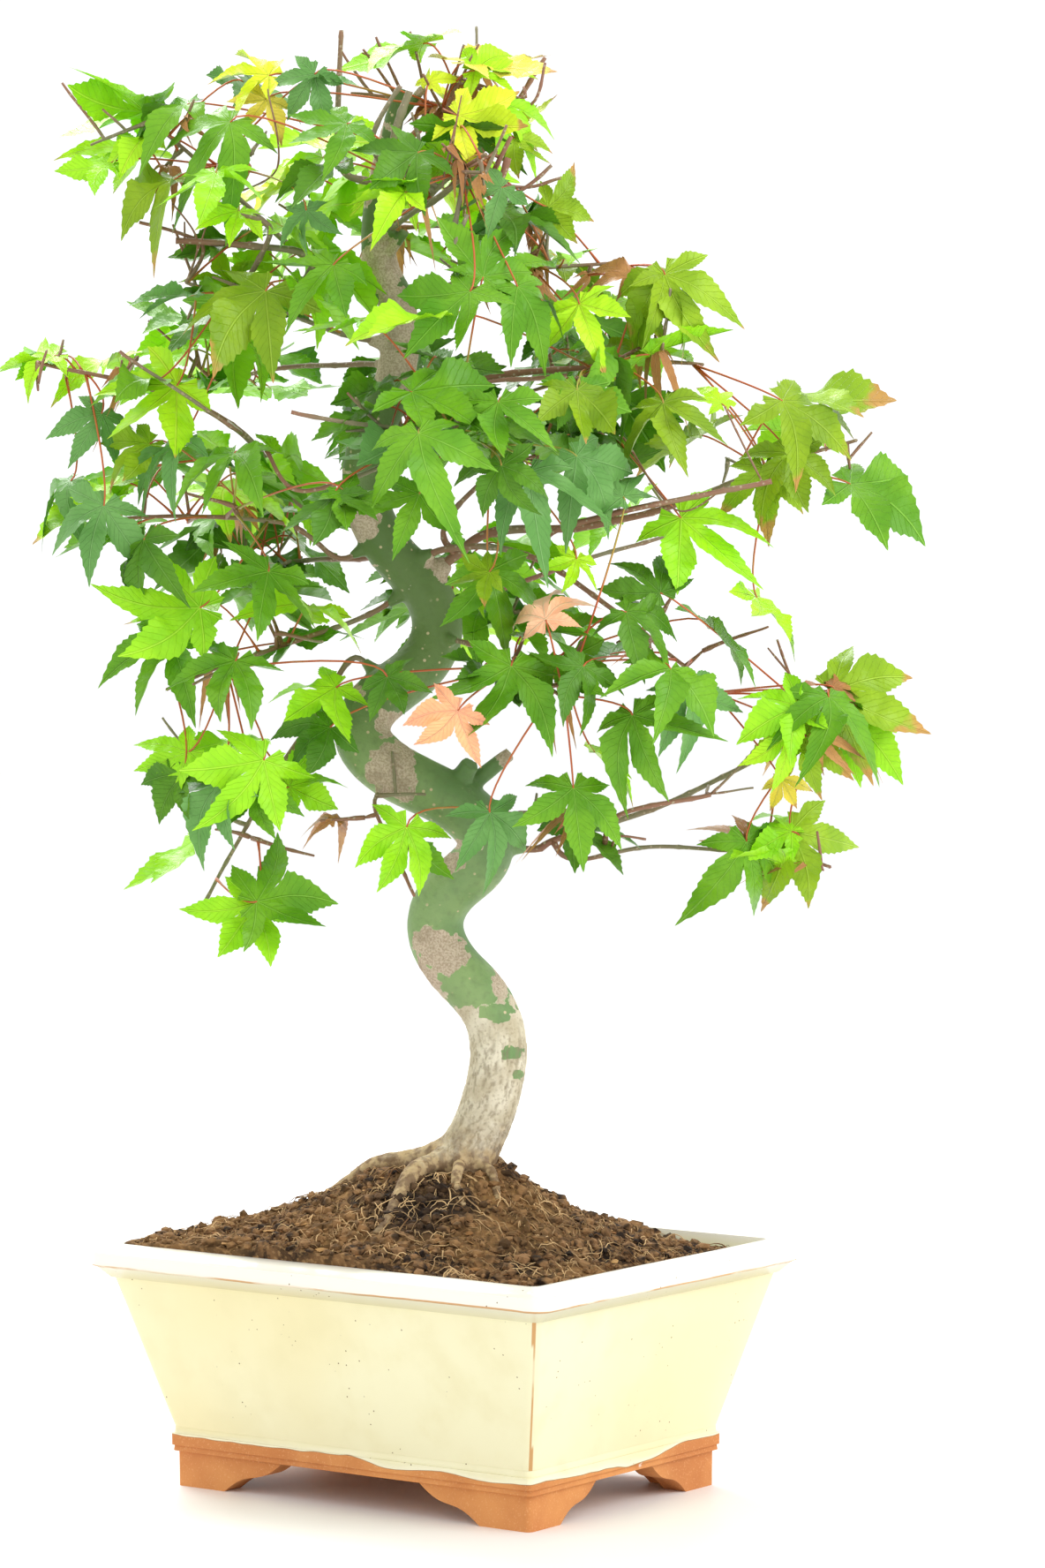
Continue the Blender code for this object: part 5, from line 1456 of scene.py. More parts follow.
def resample(path, step):
    """A path at even steps, rounded between its points."""
    points = []
    last = len(path) - 1
    for index in range(last):
        before = path[max(index - 1, 0)]
        start, end = path[index], path[index + 1]
        after = path[min(index + 2, last)]
        count = max(1, round((end - start).length / step))
        for part in range(count):
            t = part / count
            points.append(
                0.5 * (
                    2 * start
                    + (end - before) * t
                    + (2 * before - 5 * start + 4 * end - after) * t * t
                    + (3 * start - before - 3 * end + after) * t * t * t
                )
            )
    return [*points, path[-1]]


def add_tube(shape, path, radii, sides, round_tip=False):
    """A tube with closed ends, its sections turned as little as possible along the path."""
    points, faces = [], []
    last = len(path) - 1
    side = (path[1] - path[0]).normalized().orthogonal().normalized()
    for index, middle in enumerate(path):
        along = heading_at(path, index)
        side = (side - side.dot(along) * along).normalized()
        other = along.cross(side)
        for corner in range(sides):
            turn = math.tau * corner / sides
            points.append(middle + radii[index] * (side * math.cos(turn) + other * math.sin(turn)))
    for index in range(last):
        for corner in range(sides):
            here, after = index * sides + corner, index * sides + (corner + 1) % sides
            faces.append((here, after, after + sides, here + sides))
    faces.append(tuple(reversed(range(sides))))
    if round_tip:
        points.append(path[-1] + along * radii[-1] * TIP_ROUNDNESS)
        for corner in range(sides):
            faces.append((last * sides + corner, last * sides + (corner + 1) % sides, len(points) - 1))
    else:
        faces.append(tuple(last * sides + corner for corner in range(sides)))
    shape.add(points, faces)


def crooked(path, amount, seed):
    """A path with small bends, none at its ends."""
    last = len(path) - 1
    moved = []
    for index, point in enumerate(path):
        ease = min(1.0, index / CROOK_EASE, (last - index) / CROOK_EASE)
        offset = noise.noise_vector(point * CROOK_SCALE + Vector((seed, 0, 0)))
        moved.append(point + offset * amount * ease)
    return moved


def node_radii(path, start, end, offset=0.0):
    """Radii that taper along a twig and swell at its nodes."""
    lengths = [0.0]
    for low, high in zip(path, path[1:]):
        lengths.append(lengths[-1] + (high - low).length)
    radii = []
    for length in lengths:
        taper = start + (end - start) * length / lengths[-1]
        from_node = (length + offset) % NODE_SPACING - NODE_SPACING / 2
        radii.append(taper * (1 + NODE_SWELL * math.exp(-((from_node / NODE_LENGTH) ** 2))))
    return radii


# Leaves


def lobe_width(share, half_width):
    """Half the width of a lobe at a share of its length: widest past its middle, drawn out at its tip."""
    widest = LOBE_RISE / (LOBE_RISE + LOBE_FALL)
    rise = (share / widest) ** LOBE_RISE
    fall = ((1 - share) / (1 - widest)) ** LOBE_FALL
    return half_width * rise * fall


def lobe_stations(length, teeth):
    """Each station along a lobe as (distance, width factor, forward shift)."""
    stations = [(SINUS * step / BASE_STEPS, 1.0, 0.0) for step in range(BASE_STEPS + 1)]
    run = length - SINUS
    for index in range(1, 2 * teeth):
        share = index / (2 * teeth)
        spacing = run / (2 * teeth)
        if index % 2:
            stations.append((SINUS + run * share, 1 + TOOTH_OUT, spacing * TOOTH_LEAN))
        else:
            stations.append((SINUS + run * share, 1 - TOOTH_BACK, 0.0))
    stations.append((length, 0.0, 0.0))
    return stations


class LobeDraw(NamedTuple):
    angle: float
    length: float
    half_width: float
    droop: float
    bend: float
    twist: float
    teeth: int


def draw_lobes(draws):
    """A leaf's lobes from its right side to its left, each a little unlike the others."""
    lobes = []
    for index in range(-len(LOBES) + 1, len(LOBES)):
        angle, length, half_width = LOBES[abs(index)]
        side = 1 if index > 0 else -1
        lobes.append(
            LobeDraw(
                math.radians(side * angle + draws.uniform(-1, 1) * LOBE_ANGLE_DRAW),
                length * (1 + draws.uniform(-1, 1) * LOBE_LENGTH_DRAW),
                half_width * (1 + draws.uniform(-1, 1) * LOBE_WIDTH_DRAW),
                draws.uniform(*LOBE_DROOP),
                draws.uniform(-1, 1) * LOBE_BEND,
                draws.uniform(-1, 1) * LOBE_TWIST,
                TEETH[abs(index)],
            )
        )
    return lobes


def lobe_faces(stations):
    """The faces of a lobe whose stations each have a middle point and one on either side."""
    faces = []
    for station in range(stations - 1):
        here, there = 3 * station, 3 * station + 3
        if station == 0:
            faces += [(here, there, there + 1), (here, there + 2, there)]
        elif station == stations - 2:
            faces += [(here, there, here + 1), (here, here + 2, there)]
        else:
            faces += [(here, there, there + 1, here + 1), (here, here + 2, there + 2, there)]
    return faces


def add_leaf(shape, leaf, draws, curl=0.0):
    """A leaf's blade: toothed lobes, folded along their ribs and drooping towards their tips."""
    lobes = draw_lobes(draws)
    fold, sag = draws.uniform(*FOLD), draws.uniform(*SAG) + curl
    phase = draws.uniform(0, math.tau)
    across = leaf.normal.cross(leaf.forward)
    heel = math.radians(HEEL_ANGLE)
    angles = [-heel, *(lobe.angle for lobe in lobes), heel]

    def place(distance, width, lobe):
        beyond = max(0.0, distance - SINUS)
        width_here = width + lobe.bend * beyond * beyond
        x = distance * math.cos(lobe.angle) - width_here * math.sin(lobe.angle)
        y = distance * math.sin(lobe.angle) + width_here * math.cos(lobe.angle)
        ripple = RIPPLE * math.sin(RIPPLE_WAVES * distance + phase) * abs(width) * (beyond > 0)
        twist = lobe.twist * width * min(1.0, beyond / TWIST_RUN)
        lobe_drop = (lobe.droop + curl) * beyond * beyond
        z = fold * abs(width) + twist - sag * distance * distance - lobe_drop + ripple
        return leaf.base + leaf.length * (leaf.forward * x + across * y + leaf.normal * z)

    for lobe, before, after in zip(lobes, angles, angles[2:]):
        stations = lobe_stations(lobe.length, lobe.teeth)
        points, uvs = [], []
        for distance, factor, shift in stations:
            points.append(place(distance, 0.0, lobe))
            uvs.append((0.5, distance))
            for half, sign in (((after - lobe.angle) / 2, 1), ((lobe.angle - before) / 2, -1)):
                widest = distance * math.tan(min(half, WIDEST_HALF))
                width = lobe_width(min(distance / lobe.length, 1.0), lobe.half_width) * factor
                width = widest if distance <= SINUS else min(width, widest)
                points.append(place(distance + shift, sign * width, lobe))
                uvs.append((0.5 + sign * width, distance))
        shape.add(points, lobe_faces(len(stations)), uvs)


def add_stalk(shape, start, leaf, draws):
    """A leaf's stalk, arched from its joint into the line of its blade."""
    run = leaf.base - start
    arch = draws.uniform(*STALK_ARCH) * run.length
    bend = leaf.base - leaf.forward * min(run.length * STALK_SHARE, STALK_BEND) + Vector((0, 0, arch))
    path = [curve_point(start, bend, leaf.base, step / STALK_STEPS) for step in range(STALK_STEPS + 1)]
    radii = taper(STALK_RADIUS, STALK_END, STALK_STEPS)
    radii[0] *= STALK_HEEL
    add_tube(shape, path, radii, STALK_SIDES)


def tint_of(joint, growth, tints):
    """The tint of the spray that a joint is on."""
    sprays = [(start + end) / 2 for start, end in growth.shoots]
    if not sprays:
        return tints[0]
    nearest_spray = min(range(len(sprays)), key=lambda index: (sprays[index] - joint).length)
    return tints[nearest_spray % len(tints)]


def add_scraps(shape, mass, growth, draws):
    """Small dead scraps of leaves, tightly curled, on a mass's twigs."""
    for _ in range(SCRAPS.get(mass.name, OTHER_SCRAPS)):
        start, end = draws.choice(growth.shoots)
        base = start.lerp(end, draws.uniform(*SCRAP_ALONG))
        turn, tilt = draws.uniform(0, math.tau), draws.uniform(*SCRAP_TILT)
        forward, normal = drooping(level_at(turn), tilt)
        leaf = Leaf(base, forward, normal, draws.uniform(*SCRAP_LENGTH))
        add_leaf(shape, leaf, draws, curl=draws.uniform(*SCRAP_CURL))


def make_leaves(growths, front):
    """Leaves by tint, and their stalks, each kind joined."""
    shapes = {tint: Shape() for tint in TINTS}
    stalks = Shape()
    for index, mass in enumerate(MASSES):
        growth = growths[mass.name]
        draws = random.Random(LEAF_SEED + index)
        palette = PALETTES.get(mass.name, OTHER_PALETTE)
        tints = [draws.choice(palette) for _ in range(len(growth.shoots) + 1)]
        for leaf, joint in growth.leaves:
            tint = tint_of(joint, growth, tints)
            if draws.random() < ODD_TINTS:
                tint = draws.choice(palette)
            add_leaf(shapes[tint], leaf, draws)
            add_stalk(stalks, joint, leaf, draws)
        add_scraps(shapes["dead"], mass, growth, draws)
    draws = random.Random(BLADE_SEED)
    for (leaf, joint), wanted in zip(front.leaves, FRONT_LEAVES):
        add_leaf(shapes[wanted.tint], leaf, draws, wanted.curl + draws.uniform(0, FRONT_CURL))
        add_stalk(stalks, joint, leaf, draws)
    for tint, shape in shapes.items():
        if shape.points:
            name = f"leaves_{tint}"
            new_piece(name, shape.mesh(name, PLACE), leaf_finish(tint), FOLIAGE_NODES)
    new_piece("leaf_stalks", stalks.mesh("leaf_stalks", PLACE), stalk_finish(), FOLIAGE_NODES)


# Pot


def ring_points(row):
    """The points of a ring, counterclockwise from above, with the sides cut into steps.

    A ring is a level rounded rectangle: its half sizes, its corners' radius and its height.
    """
    half_length, half_width, radius, height = row
    arcs = []
    for quarter, (side_x, side_y) in enumerate(((1, 1), (-1, 1), (-1, -1), (1, -1))):
        middle = Vector((side_x * (half_length - radius), side_y * (half_width - radius), height))
        turns = [math.pi / 2 * (quarter + step / CORNER_STEPS) for step in range(CORNER_STEPS + 1)]
        arcs.append([middle + radius * level_at(turn) for turn in turns])
    ringed = []
    for arc, after in zip(arcs, [*arcs[1:], arcs[0]]):
        ringed += arc
        ringed += [arc[-1].lerp(after[0], step / SIDE_STEPS) for step in range(1, SIDE_STEPS)]
    return ringed


def pot_inside(height):
    """Half the length and width of the pot's inside at a height."""
    low = Vector((FOOT_LENGTH / 2 - POT_WALL, FOOT_WIDTH / 2 - POT_WALL))
    high = Vector((RIM_LENGTH / 2 - LIP_WIDTH, RIM_WIDTH / 2 - LIP_WIDTH))
    return low + (high - low) * (height - POT_FLOOR) / (POT_HEIGHT - POT_FLOOR)


def pot_profile():
    """The pot's rings from the ground up its outer face, over the lip and down to the inner floor."""
    foot, rim = (FOOT_LENGTH / 2, FOOT_WIDTH / 2), (RIM_LENGTH / 2, RIM_WIDTH / 2)
    mouth = pot_inside(POT_HEIGHT)
    lip_edge = POT_HEIGHT - LIP_DROP

    def grown(size, by, corner, height):
        return Vector((size[0] + by, size[1] + by, corner, height))

    return [
        grown(foot, 0.0, FOOT_CORNER, 0.0),
        grown(foot, NECK_BULGE / 2, FOOT_CORNER, NECK_HEIGHT),
        grown(foot, BELT_BULGE / 2, FOOT_CORNER, BELT_LOW),
        grown(foot, BELT_BULGE / 2, FOOT_CORNER, BELT_HIGH),
        grown(foot, NECK_BULGE / 2, BODY_CORNER, BELT_TOP),
        grown(rim, -LIP_OVERHANG, BODY_CORNER, LIP_UNDERCUT),
        grown(rim, 0.0, LIP_CORNER, lip_edge - LIP_FACE),
        grown(rim, 0.0, LIP_CORNER, lip_edge),
        grown(mouth, 0.0, BODY_CORNER, POT_HEIGHT),
        grown(pot_inside(POT_FLOOR), 0.0, BODY_CORNER, POT_FLOOR),
    ]


def softened(profile):
    """A profile with each inner corner rounded and long runs cut into steps."""
    rounded = [profile[0]]
    for before, corner, after in zip(profile, profile[1:], profile[2:]):
        start = corner + (before - corner).normalized() * SOFT_EDGE
        end = corner + (after - corner).normalized() * SOFT_EDGE
        rounded += [curve_point(start, corner, end, step / SOFT_STEPS) for step in range(SOFT_STEPS + 1)]
    rounded.append(profile[-1])
    rows = [rounded[0]]
    for low, high in zip(rounded, rounded[1:]):
        steps = max(1, round((high - low).length / WALL_STEP))
        rows += [low.lerp(high, step / steps) for step in range(1, steps + 1)]
    return rows


def add_loft(shape, rings):
    """A closed skin through rings of the same count of points."""
    points = [point for ring in rings for point in ring]
    count = len(rings[0])
    faces = [tuple(reversed(range(count)))]
    for first in range(0, len(points) - count, count):
        for corner in range(count):
            after = (corner + 1) % count
            faces.append((first + corner, first + after, first + count + after, first + count + corner))
    faces.append(tuple(range(len(points) - count, len(points))))
    shape.add(points, faces)


def prism(name, outline, through, turn):
    """A cutter of that outline, stood up and run through the pot's middle."""
    shape = Shape()
    ends = [[Vector((x, away, z)) for x, z in outline] for away in (through / 2, -through / 2)]
    add_loft(shape, ends)
    return new_object(name, shape.mesh(name, Matrix.Rotation(turn, 4, "Z"), smooth=False))


def ogee_outline(half_ground, slope):
    """The gap between two feet: flat on top, with a curve and a small ledge down to each foot."""
    side = []
    for step in range(OGEE_STEPS + 1):
        share = step / OGEE_STEPS
        rise = share + OGEE_LEDGE * math.sin(math.tau * share)
        side.append((half_ground - slope * share, FOOT_HEIGHT * rise))
    outline = [(half_ground, -FOOT_HEIGHT), *side]
    return outline + [(-x, z) for x, z in reversed(outline)]


def corner_amount(point):
    """1 along the middle of the walls' corners, where the glaze runs thin."""
    if not BELT_TOP < point.z < LIP_UNDERCUT:
        return 0.0
    share = (point.z - BELT_TOP) / (LIP_UNDERCUT - BELT_TOP)

    def off_wall(foot, rim, place):
        return foot / 2 + (rim / 2 - LIP_OVERHANG - foot / 2) * share - abs(place)

    off_length = off_wall(FOOT_LENGTH, RIM_LENGTH, point.x)
    off_width = off_wall(FOOT_WIDTH, RIM_WIDTH, point.y)
    return 1.0 if off_length < BODY_CORNER and abs(off_length - off_width) < THIN_CORNER else 0.0


def inner_amount(point):
    """1 on the inside of the walls, below the mouth's edge."""
    half = pot_inside(point.z)
    off_wall = max(abs(point.x) - half.x, abs(point.y) - half.y)
    return 1.0 if abs(off_wall) < POT_WALL / 4 and POT_FLOOR < point.z < POT_HEIGHT - SOFT_EDGE else 0.0


def outer_amount(point):
    """1 on the lip's outer face."""
    off_rim = max(abs(point.x) - RIM_LENGTH / 2, abs(point.y) - RIM_WIDTH / 2)
    return 1.0 if off_rim > -LIP_OVERHANG / 2 else 0.0


def applied(made):
    """An object's mesh with its modifiers applied."""
    bpy.context.view_layer.update()
    return bpy.data.meshes.new_from_object(made.evaluated_get(bpy.context.evaluated_depsgraph_get()))


def keep_values(mesh, name, values):
    """Keep a value for each point of a mesh, under the name by which its material reads it."""
    layer = mesh.attributes.new(name, "FLOAT", "POINT")
    layer.data.foreach_set("value", values)


def pot_cutters():
    """What is cut from the pot: the gaps between its feet and the hollow under it."""
    half_x, top = FOOT_LENGTH / 2 - FOOT_WALL, FOOT_HEIGHT + UNDERSIDE_RECESS
    recess = [(-half_x, -top), (half_x, -top), (half_x, top), (-half_x, top)]
    long_gap = ogee_outline(FOOT_LENGTH / 2 - FOOT_FLAT_LONG, OGEE_LONG)
    short_gap = ogee_outline(FOOT_WIDTH / 2 - FOOT_FLAT_SHORT, OGEE_SHORT)
    return (
        prism("cut_long", long_gap, 2 * FOOT_WIDTH, 0.0),
        prism("cut_short", short_gap, 2 * FOOT_LENGTH, math.pi / 2),
        prism("cut_under", recess, FOOT_WIDTH - 2 * FOOT_WALL, 0.0),
    )


def make_pot():
    """The pot, a little uneven as a hand-made one is, with its feet cut out and its underside hollow."""
    shape = Shape()
    add_loft(shape, [ring_points(row) for row in softened(pot_profile())])
    pot = new_object("pot_body", shape.mesh("pot_body", Matrix.Identity(4)))
    cutters = pot_cutters()
    for cutter in cutters:
        cut = pot.modifiers.new(cutter.name, "BOOLEAN")
        cut.operation = "DIFFERENCE"
        cut.object = cutter
    mesh = applied(pot)
    for made in (pot, *cutters):
        bpy.data.objects.remove(made, do_unlink=True)
    for name, amount in (("thin", corner_amount), ("inner", inner_amount), ("outer", outer_amount)):
        keep_values(mesh, name, [amount(vertex.co) for vertex in mesh.vertices])
    for vertex in mesh.vertices:
        level = Vector((1, 1, WARP_UP * smoothstep(WARP_FROM, POT_HEIGHT, vertex.co.z)))
        vertex.co = POT_PLACE @ (vertex.co + level * noise.noise_vector(vertex.co * WARP_SCALE) * WARP)
    mesh.shade_smooth()
    mesh.set_sharp_from_angle(angle=math.radians(SHARP_ANGLE))
    new_piece("pot_body", mesh, glaze_finish(), ["pot"])


# Soil


def front_view(point):
    """A point of the pot's frame in the tree's front view."""
    return Matrix.Rotation(-TREE_TURN, 3, "Z") @ Vector(point)


def soil_edge(angle):
    """Where the soil meets the pot's inside, in a direction seen from the middle."""
    direction = level_at(angle)
    height = SOIL_LEVEL
    for _ in range(EDGE_ROUNDS):
        half = pot_inside(height) - Vector((GAP, GAP))
        reach = min(half.x / max(abs(direction.x), GAP), half.y / max(abs(direction.y), GAP))
        point = direction * reach
        past_x = max(0.0, abs(point.x) - half.x + SOIL_CORNER)
        past_y = max(0.0, abs(point.y) - half.y + SOIL_CORNER)
        point *= 1 - max(0.0, past_x + past_y - SOIL_CORNER) / point.length
        seen = front_view(point)
        height = mound_height(seen.x, seen.y)
    return Vector((point.x, point.y, height))


def soil_height(point):
    """Height of the lumpy soil at a place of the pot's frame."""
    seen = front_view((point.x, point.y, 0))
    height = mound_height(seen.x, seen.y)
    for scale, lift in CLODS:
        height += lift * noise.noise(Vector((point.x, point.y, CLOD_LEAN * height)) * scale)
    return height


def soil_place(edge, share):
    """The soil's surface at a share of the way from the pot's middle to a point of its edge."""
    place = Vector((edge.x, edge.y, 0)) * share
    return Vector((place.x, place.y, soil_height(place)))


def soil_ground(edges):
    """The soil's lumpy surface, its walls along the pot and its floor."""
    floor = pot_inside(POT_FLOOR)
    rings = [[]]
    for edge in edges:
        level = pot_inside(edge.z)
        rings[0].append(Vector((edge.x * floor.x / level.x, edge.y * floor.y / level.y, POT_FLOOR + GAP)))
    for number in range(SOIL_RINGS):
        rings.append([soil_place(edge, 1 - number / SOIL_RINGS) for edge in edges])
    shape = Shape()
    add_loft(shape, rings)
    return shape


def scattered(edges, count, draws):
    """Places spread evenly over the soil, with a random turn each."""
    for _ in range(count):
        edge = edges[draws.randrange(len(edges))]
        share = math.sqrt(draws.random()) * SCATTER_REACH
        yield soil_place(edge, share), draws.uniform(0, math.tau)


def make_bits(name, edges, count, size, flatness, draws):
    """Lumps with uneven corners, half sunk in the soil."""
    ball = bmesh.new()
    bmesh.ops.create_icosphere(ball, subdivisions=1, radius=1.0)
    corners = [vertex.co.copy() for vertex in ball.verts]
    faces = [tuple(vertex.index for vertex in face.verts) for face in ball.faces]
    ball.free()
    shape = Shape()
    for place, turn in scattered(edges, count, draws):
        radius = size[0] + (size[1] - size[0]) * draws.random() ** LUMP_SMALLNESS
        tilt = draws.uniform(-LUMP_TILT, LUMP_TILT)
        spin = Matrix.Rotation(turn, 3, "Z") @ Matrix.Rotation(tilt, 3, "X")
        long, wide, tall = (draws.uniform(*part) for part in LUMP_STRETCH)
        stretch = Vector((long, wide, flatness * tall))
        lump = []
        for corner in corners:
            uneven = corner * draws.uniform(*LUMP_UNEVEN) * radius
            lump.append(place + spin @ (uneven * stretch) + Vector((0, 0, radius * LUMP_RISE * flatness)))
        shape.add(lump, faces)
    return shape.mesh(name, POT_PLACE, smooth=False)


def fibre_path(place, turn, draws):
    """A fibre's path over the soil, wandering as it goes and humped in its middle."""
    length = draws.uniform(*FIBRE_LENGTH) * draws.random() ** 0.5
    path = [place - Vector((0, 0, FIBRE_SINK))]
    hump = draws.uniform(*FIBRE_HUMP)
    for step in range(1, FIBRE_STEPS + 1):
        turn += draws.uniform(-FIBRE_WANDER, FIBRE_WANDER)
        ahead = path[-1] + level_at(turn) * length / FIBRE_STEPS
        lift = hump * math.sin(math.pi * step / FIBRE_STEPS)
        ahead.z = soil_height(ahead) + lift + draws.uniform(*FIBRE_WOBBLE)
        path.append(ahead)
    return path


def make_fibres(edges, draws):
    """Fine root fibres that wander over the soil."""
    shape = Shape()
    for place, turn in scattered(edges, FIBRES, draws):
        path = fibre_path(place, turn, draws)
        half = pot_inside(path[-1].z) - Vector((FIBRE_MARGIN, FIBRE_MARGIN))
        if all(abs(point.x) < half.x and abs(point.y) < half.y for point in path):
            radius = draws.uniform(*FIBRE_RADIUS)
            radii = [radius * (1 - FIBRE_TAPER * step / FIBRE_STEPS) for step in range(FIBRE_STEPS + 1)]
            add_tube(shape, path, radii, FIBRE_SIDES)
    return shape.mesh("soil_fibres", POT_PLACE)


def make_soil():
    """The ground and the crumbs, chips and fibres that lie on it."""
    edges = [soil_edge(math.tau * index / SOIL_SIDES) for index in range(SOIL_SIDES)]
    draws = random.Random(SOIL_SEED)
    ground = soil_ground(edges).mesh("soil_ground", POT_PLACE)
    new_piece("soil_ground", ground, soil_finish(), ["soil"])
    meshes = {
        "crumbs": make_bits("soil_crumbs", edges, CRUMBS, CRUMB_SIZE, CRUMB_FLATNESS, draws),
        "chips": make_bits("soil_chips", edges, CHIPS, CHIP_SIZE, CHIP_FLATNESS, draws),
        "fibres": make_fibres(edges, draws),
    }
    for name, mesh in meshes.items():
        new_piece(f"soil_{name}", mesh, bits_finish(name), ["soil"])


# Trunk, boughs and twigs


def limb_course(mass, limb):
    """The whole limb from inside its carrier to its stem's end, with its radii."""
    path = resample([limb.root, *limb.bough, *limb.stem[1:]], LIMB_STEP)
    radii = node_radii(path, mass.radius * BOUGH_SLIMNESS, LIMB_END_RADIUS)
    return crooked(path, CROOK, mass.start * 100), radii


def spread_about(reach, draws):
    return Vector([draws.uniform(-reach, reach) for _ in range(3)])


def add_bare_twigs(shape, growth, count, draws):
    """Thin bare twigs that leave a mass's shoots upwards and outwards, some with a side twig."""
    for _ in range(count):
        start, end = draws.choice(growth.shoots)
        base = start.lerp(end, draws.uniform(*BARE_ALONG))
        way = (end - start).normalized() * 0.5 + spread_about(BARE_SPREAD, draws)
        way.z += BARE_RISE
        tip = base + way.normalized() * draws.uniform(*BARE_LENGTH)
        course = crooked(resample([base, tip], BARE_STEP), CROOK * 0.7, draws.uniform(0, 50))
        add_tube(shape, course, node_radii(course, BARE_RADIUS, BARE_RADIUS * 0.7), SHOOT_SIDES)
        if draws.random() < FORKED:
            fork = course[len(course) // 2]
            side = way.normalized() + spread_about(FORK_SPREAD, draws)
            end = fork + side.normalized() * (tip - base).length * FORK_LENGTH
            course = resample([fork, end], BARE_STEP)
            radii = node_radii(course, BARE_RADIUS * 0.8, BARE_RADIUS * 0.5)
            add_tube(shape, course, radii, FORK_SIDES, round_tip=True)


def add_front_twigs(shape, limbs):
    """The bare twigs of the front view, each run on from the nearest limb."""
    carriers = []
    for limb in limbs.values():
        carriers += resample([*limb.bough, *limb.stem], CARRIER_STEP)
    carriers += resample(trunk_path(FINE_TRUNK_STEPS), CARRIER_STEP)
    for index, (across, away, height, end_across, end_height, radius) in enumerate(FRONT_TWIGS):
        low = Vector((across, away, height)) / MILLIMETRES
        high = Vector((end_across, away, end_height)) / MILLIMETRES
        root = nearest(carriers, low)
        course = crooked(resample([root, low, high], LIMB_STEP), CROOK * 0.5, index * 0.7)
        radius /= MILLIMETRES
        add_tube(shape, course, node_radii(course, radius, radius * 0.82), FRONT_TWIG_SIDES)


def add_shoots(shape, growth, limb_path, index):
    """A mass's shoots, each from its limb where it starts beside it."""
    for number, (start, end) in enumerate(growth.shoots):
        near = nearest(limb_path, start)
        root = near if (near - start).length < SHOOT_JOIN else start
        course = crooked(resample([root, end], SHOOT_STEP), CROOK * 0.8, index + number * 0.37)
        radii = node_radii(course, SHOOT_RADIUS, TIP_RADIUS, offset=0.004)
        add_tube(shape, course, radii, SHOOT_SIDES, round_tip=True)


def add_bare_shoots(shape):
    """The bare shoots that leave the trunk's top."""
    for _, height, radius, corners in BARE_SHOOTS:
        middle, along, trunk_radius = trunk_at(height)
        side, out = limb_start(middle, along, trunk_radius, corners[0])
        lead = side + out * COLLAR_LENGTH + out * LIMB_LEAD
        route = smooth_path([lead, lead + out * LIMB_RUN_OUT, *corners], LIMB_STEPS)
        path = resample([middle, *route], BARE_SHOOT_STEP)
        radii = node_radii(path, radius, radius * (1 - SHOOT_TAPER))
        add_tube(shape, crooked(path, CROOK * 0.5, height), radii, BARE_SHOOT_SIDES)


def make_twigs(limbs, growths):
    """The boughs run on into their stems, and the shoots leave them, all as round tapering tubes."""
    boughs, twigs = Shape(), Shape()
    for index, mass in enumerate(MASSES):
        path, radii = limb_course(mass, limbs[mass.name])
        flared = [
            radius * (1 + FLARE * math.exp(-step * FLARE_FADE)) for step, radius in enumerate(radii)
        ]
        add_tube(boughs, path, flared, BOUGH_SIDES, round_tip=True)
        growth = growths[mass.name]
        add_shoots(twigs, growth, path, index)
        count = BARE_TWIGS.get(mass.name, OTHER_TWIGS)
        add_bare_twigs(twigs, growth, count, random.Random(TWIG_SEED + index))
    add_bare_shoots(boughs)
    add_front_twigs(twigs, limbs)
    finish = twig_finish()
    nodes = [f"bough_{mass.name}" for mass in MASSES if limbs[mass.name].bough]
    nodes += [name for name, _, _, _ in BARE_SHOOTS]
    new_piece("boughs", boughs.mesh("boughs", PLACE), finish, nodes)
    new_piece("twigs", twigs.mesh("twigs", PLACE), finish, FOLIAGE_NODES)


def add_roots(shape):
    for direction, length, radius in ROOTS:
        course = resample(root_path(direction, length, ROOT_STEPS), BARK_STEP)
        radii = [radius * (ROOT_THICK - ROOT_TAPER * index / len(course)) for index in range(len(course))]
        add_tube(shape, course, radii, ROOT_SIDES)


def add_collars(shape, limbs):
    """A swelling of the trunk round the start of each limb."""
    for mass in MASSES:
        if mass.carrier == "trunk":
            limb = limbs[mass.name]
            first = (limb.bough or limb.stem)[1]
            radii = [mass.radius * factor for factor in COLLAR_FACTORS]
            add_tube(shape, [limb.root, limb.root.lerp(first, 0.5), first], radii, COLLAR_SIDES)


def add_stubs(shape):
    for start, end, radius in STUBS:
        course = resample([Vector(start), Vector(end)], BARK_STEP)
        radii = [radius * (1.35 - 0.35 * index / len(course)) for index in range(len(course))]
        add_tube(shape, course, radii, STUB_SIDES)


def bark_body(limbs):
    """Trunk, roots and collars as one closed skin with soft joins."""
    shape = Shape()
    path = resample(trunk_path(FINE_TRUNK_STEPS), BARK_STEP)
    add_tube(shape, path, [interpolate(TRUNK_RADII, point.z) for point in path], BARK_SIDES)
    add_roots(shape)
    add_collars(shape, limbs)
    add_stubs(shape)
    body = new_object("bark_body", shape.mesh("bark_body", Matrix.Identity(4)))
    remesh = body.modifiers.new("skin", "REMESH")
    remesh.mode = "VOXEL"
    remesh.voxel_size = BARK_VOXEL
    soften = body.modifiers.new("soften", "SMOOTH")
    soften.iterations = BARK_SMOOTHS
    skin = applied(body)
    bpy.data.objects.remove(body, do_unlink=True)
    return skin


def clouds(point, scale, octaves):
    """Noise around zero at a place, with finer noise over coarse."""
    return noise.fractal(point * scale, 1.0, 2.0, octaves)


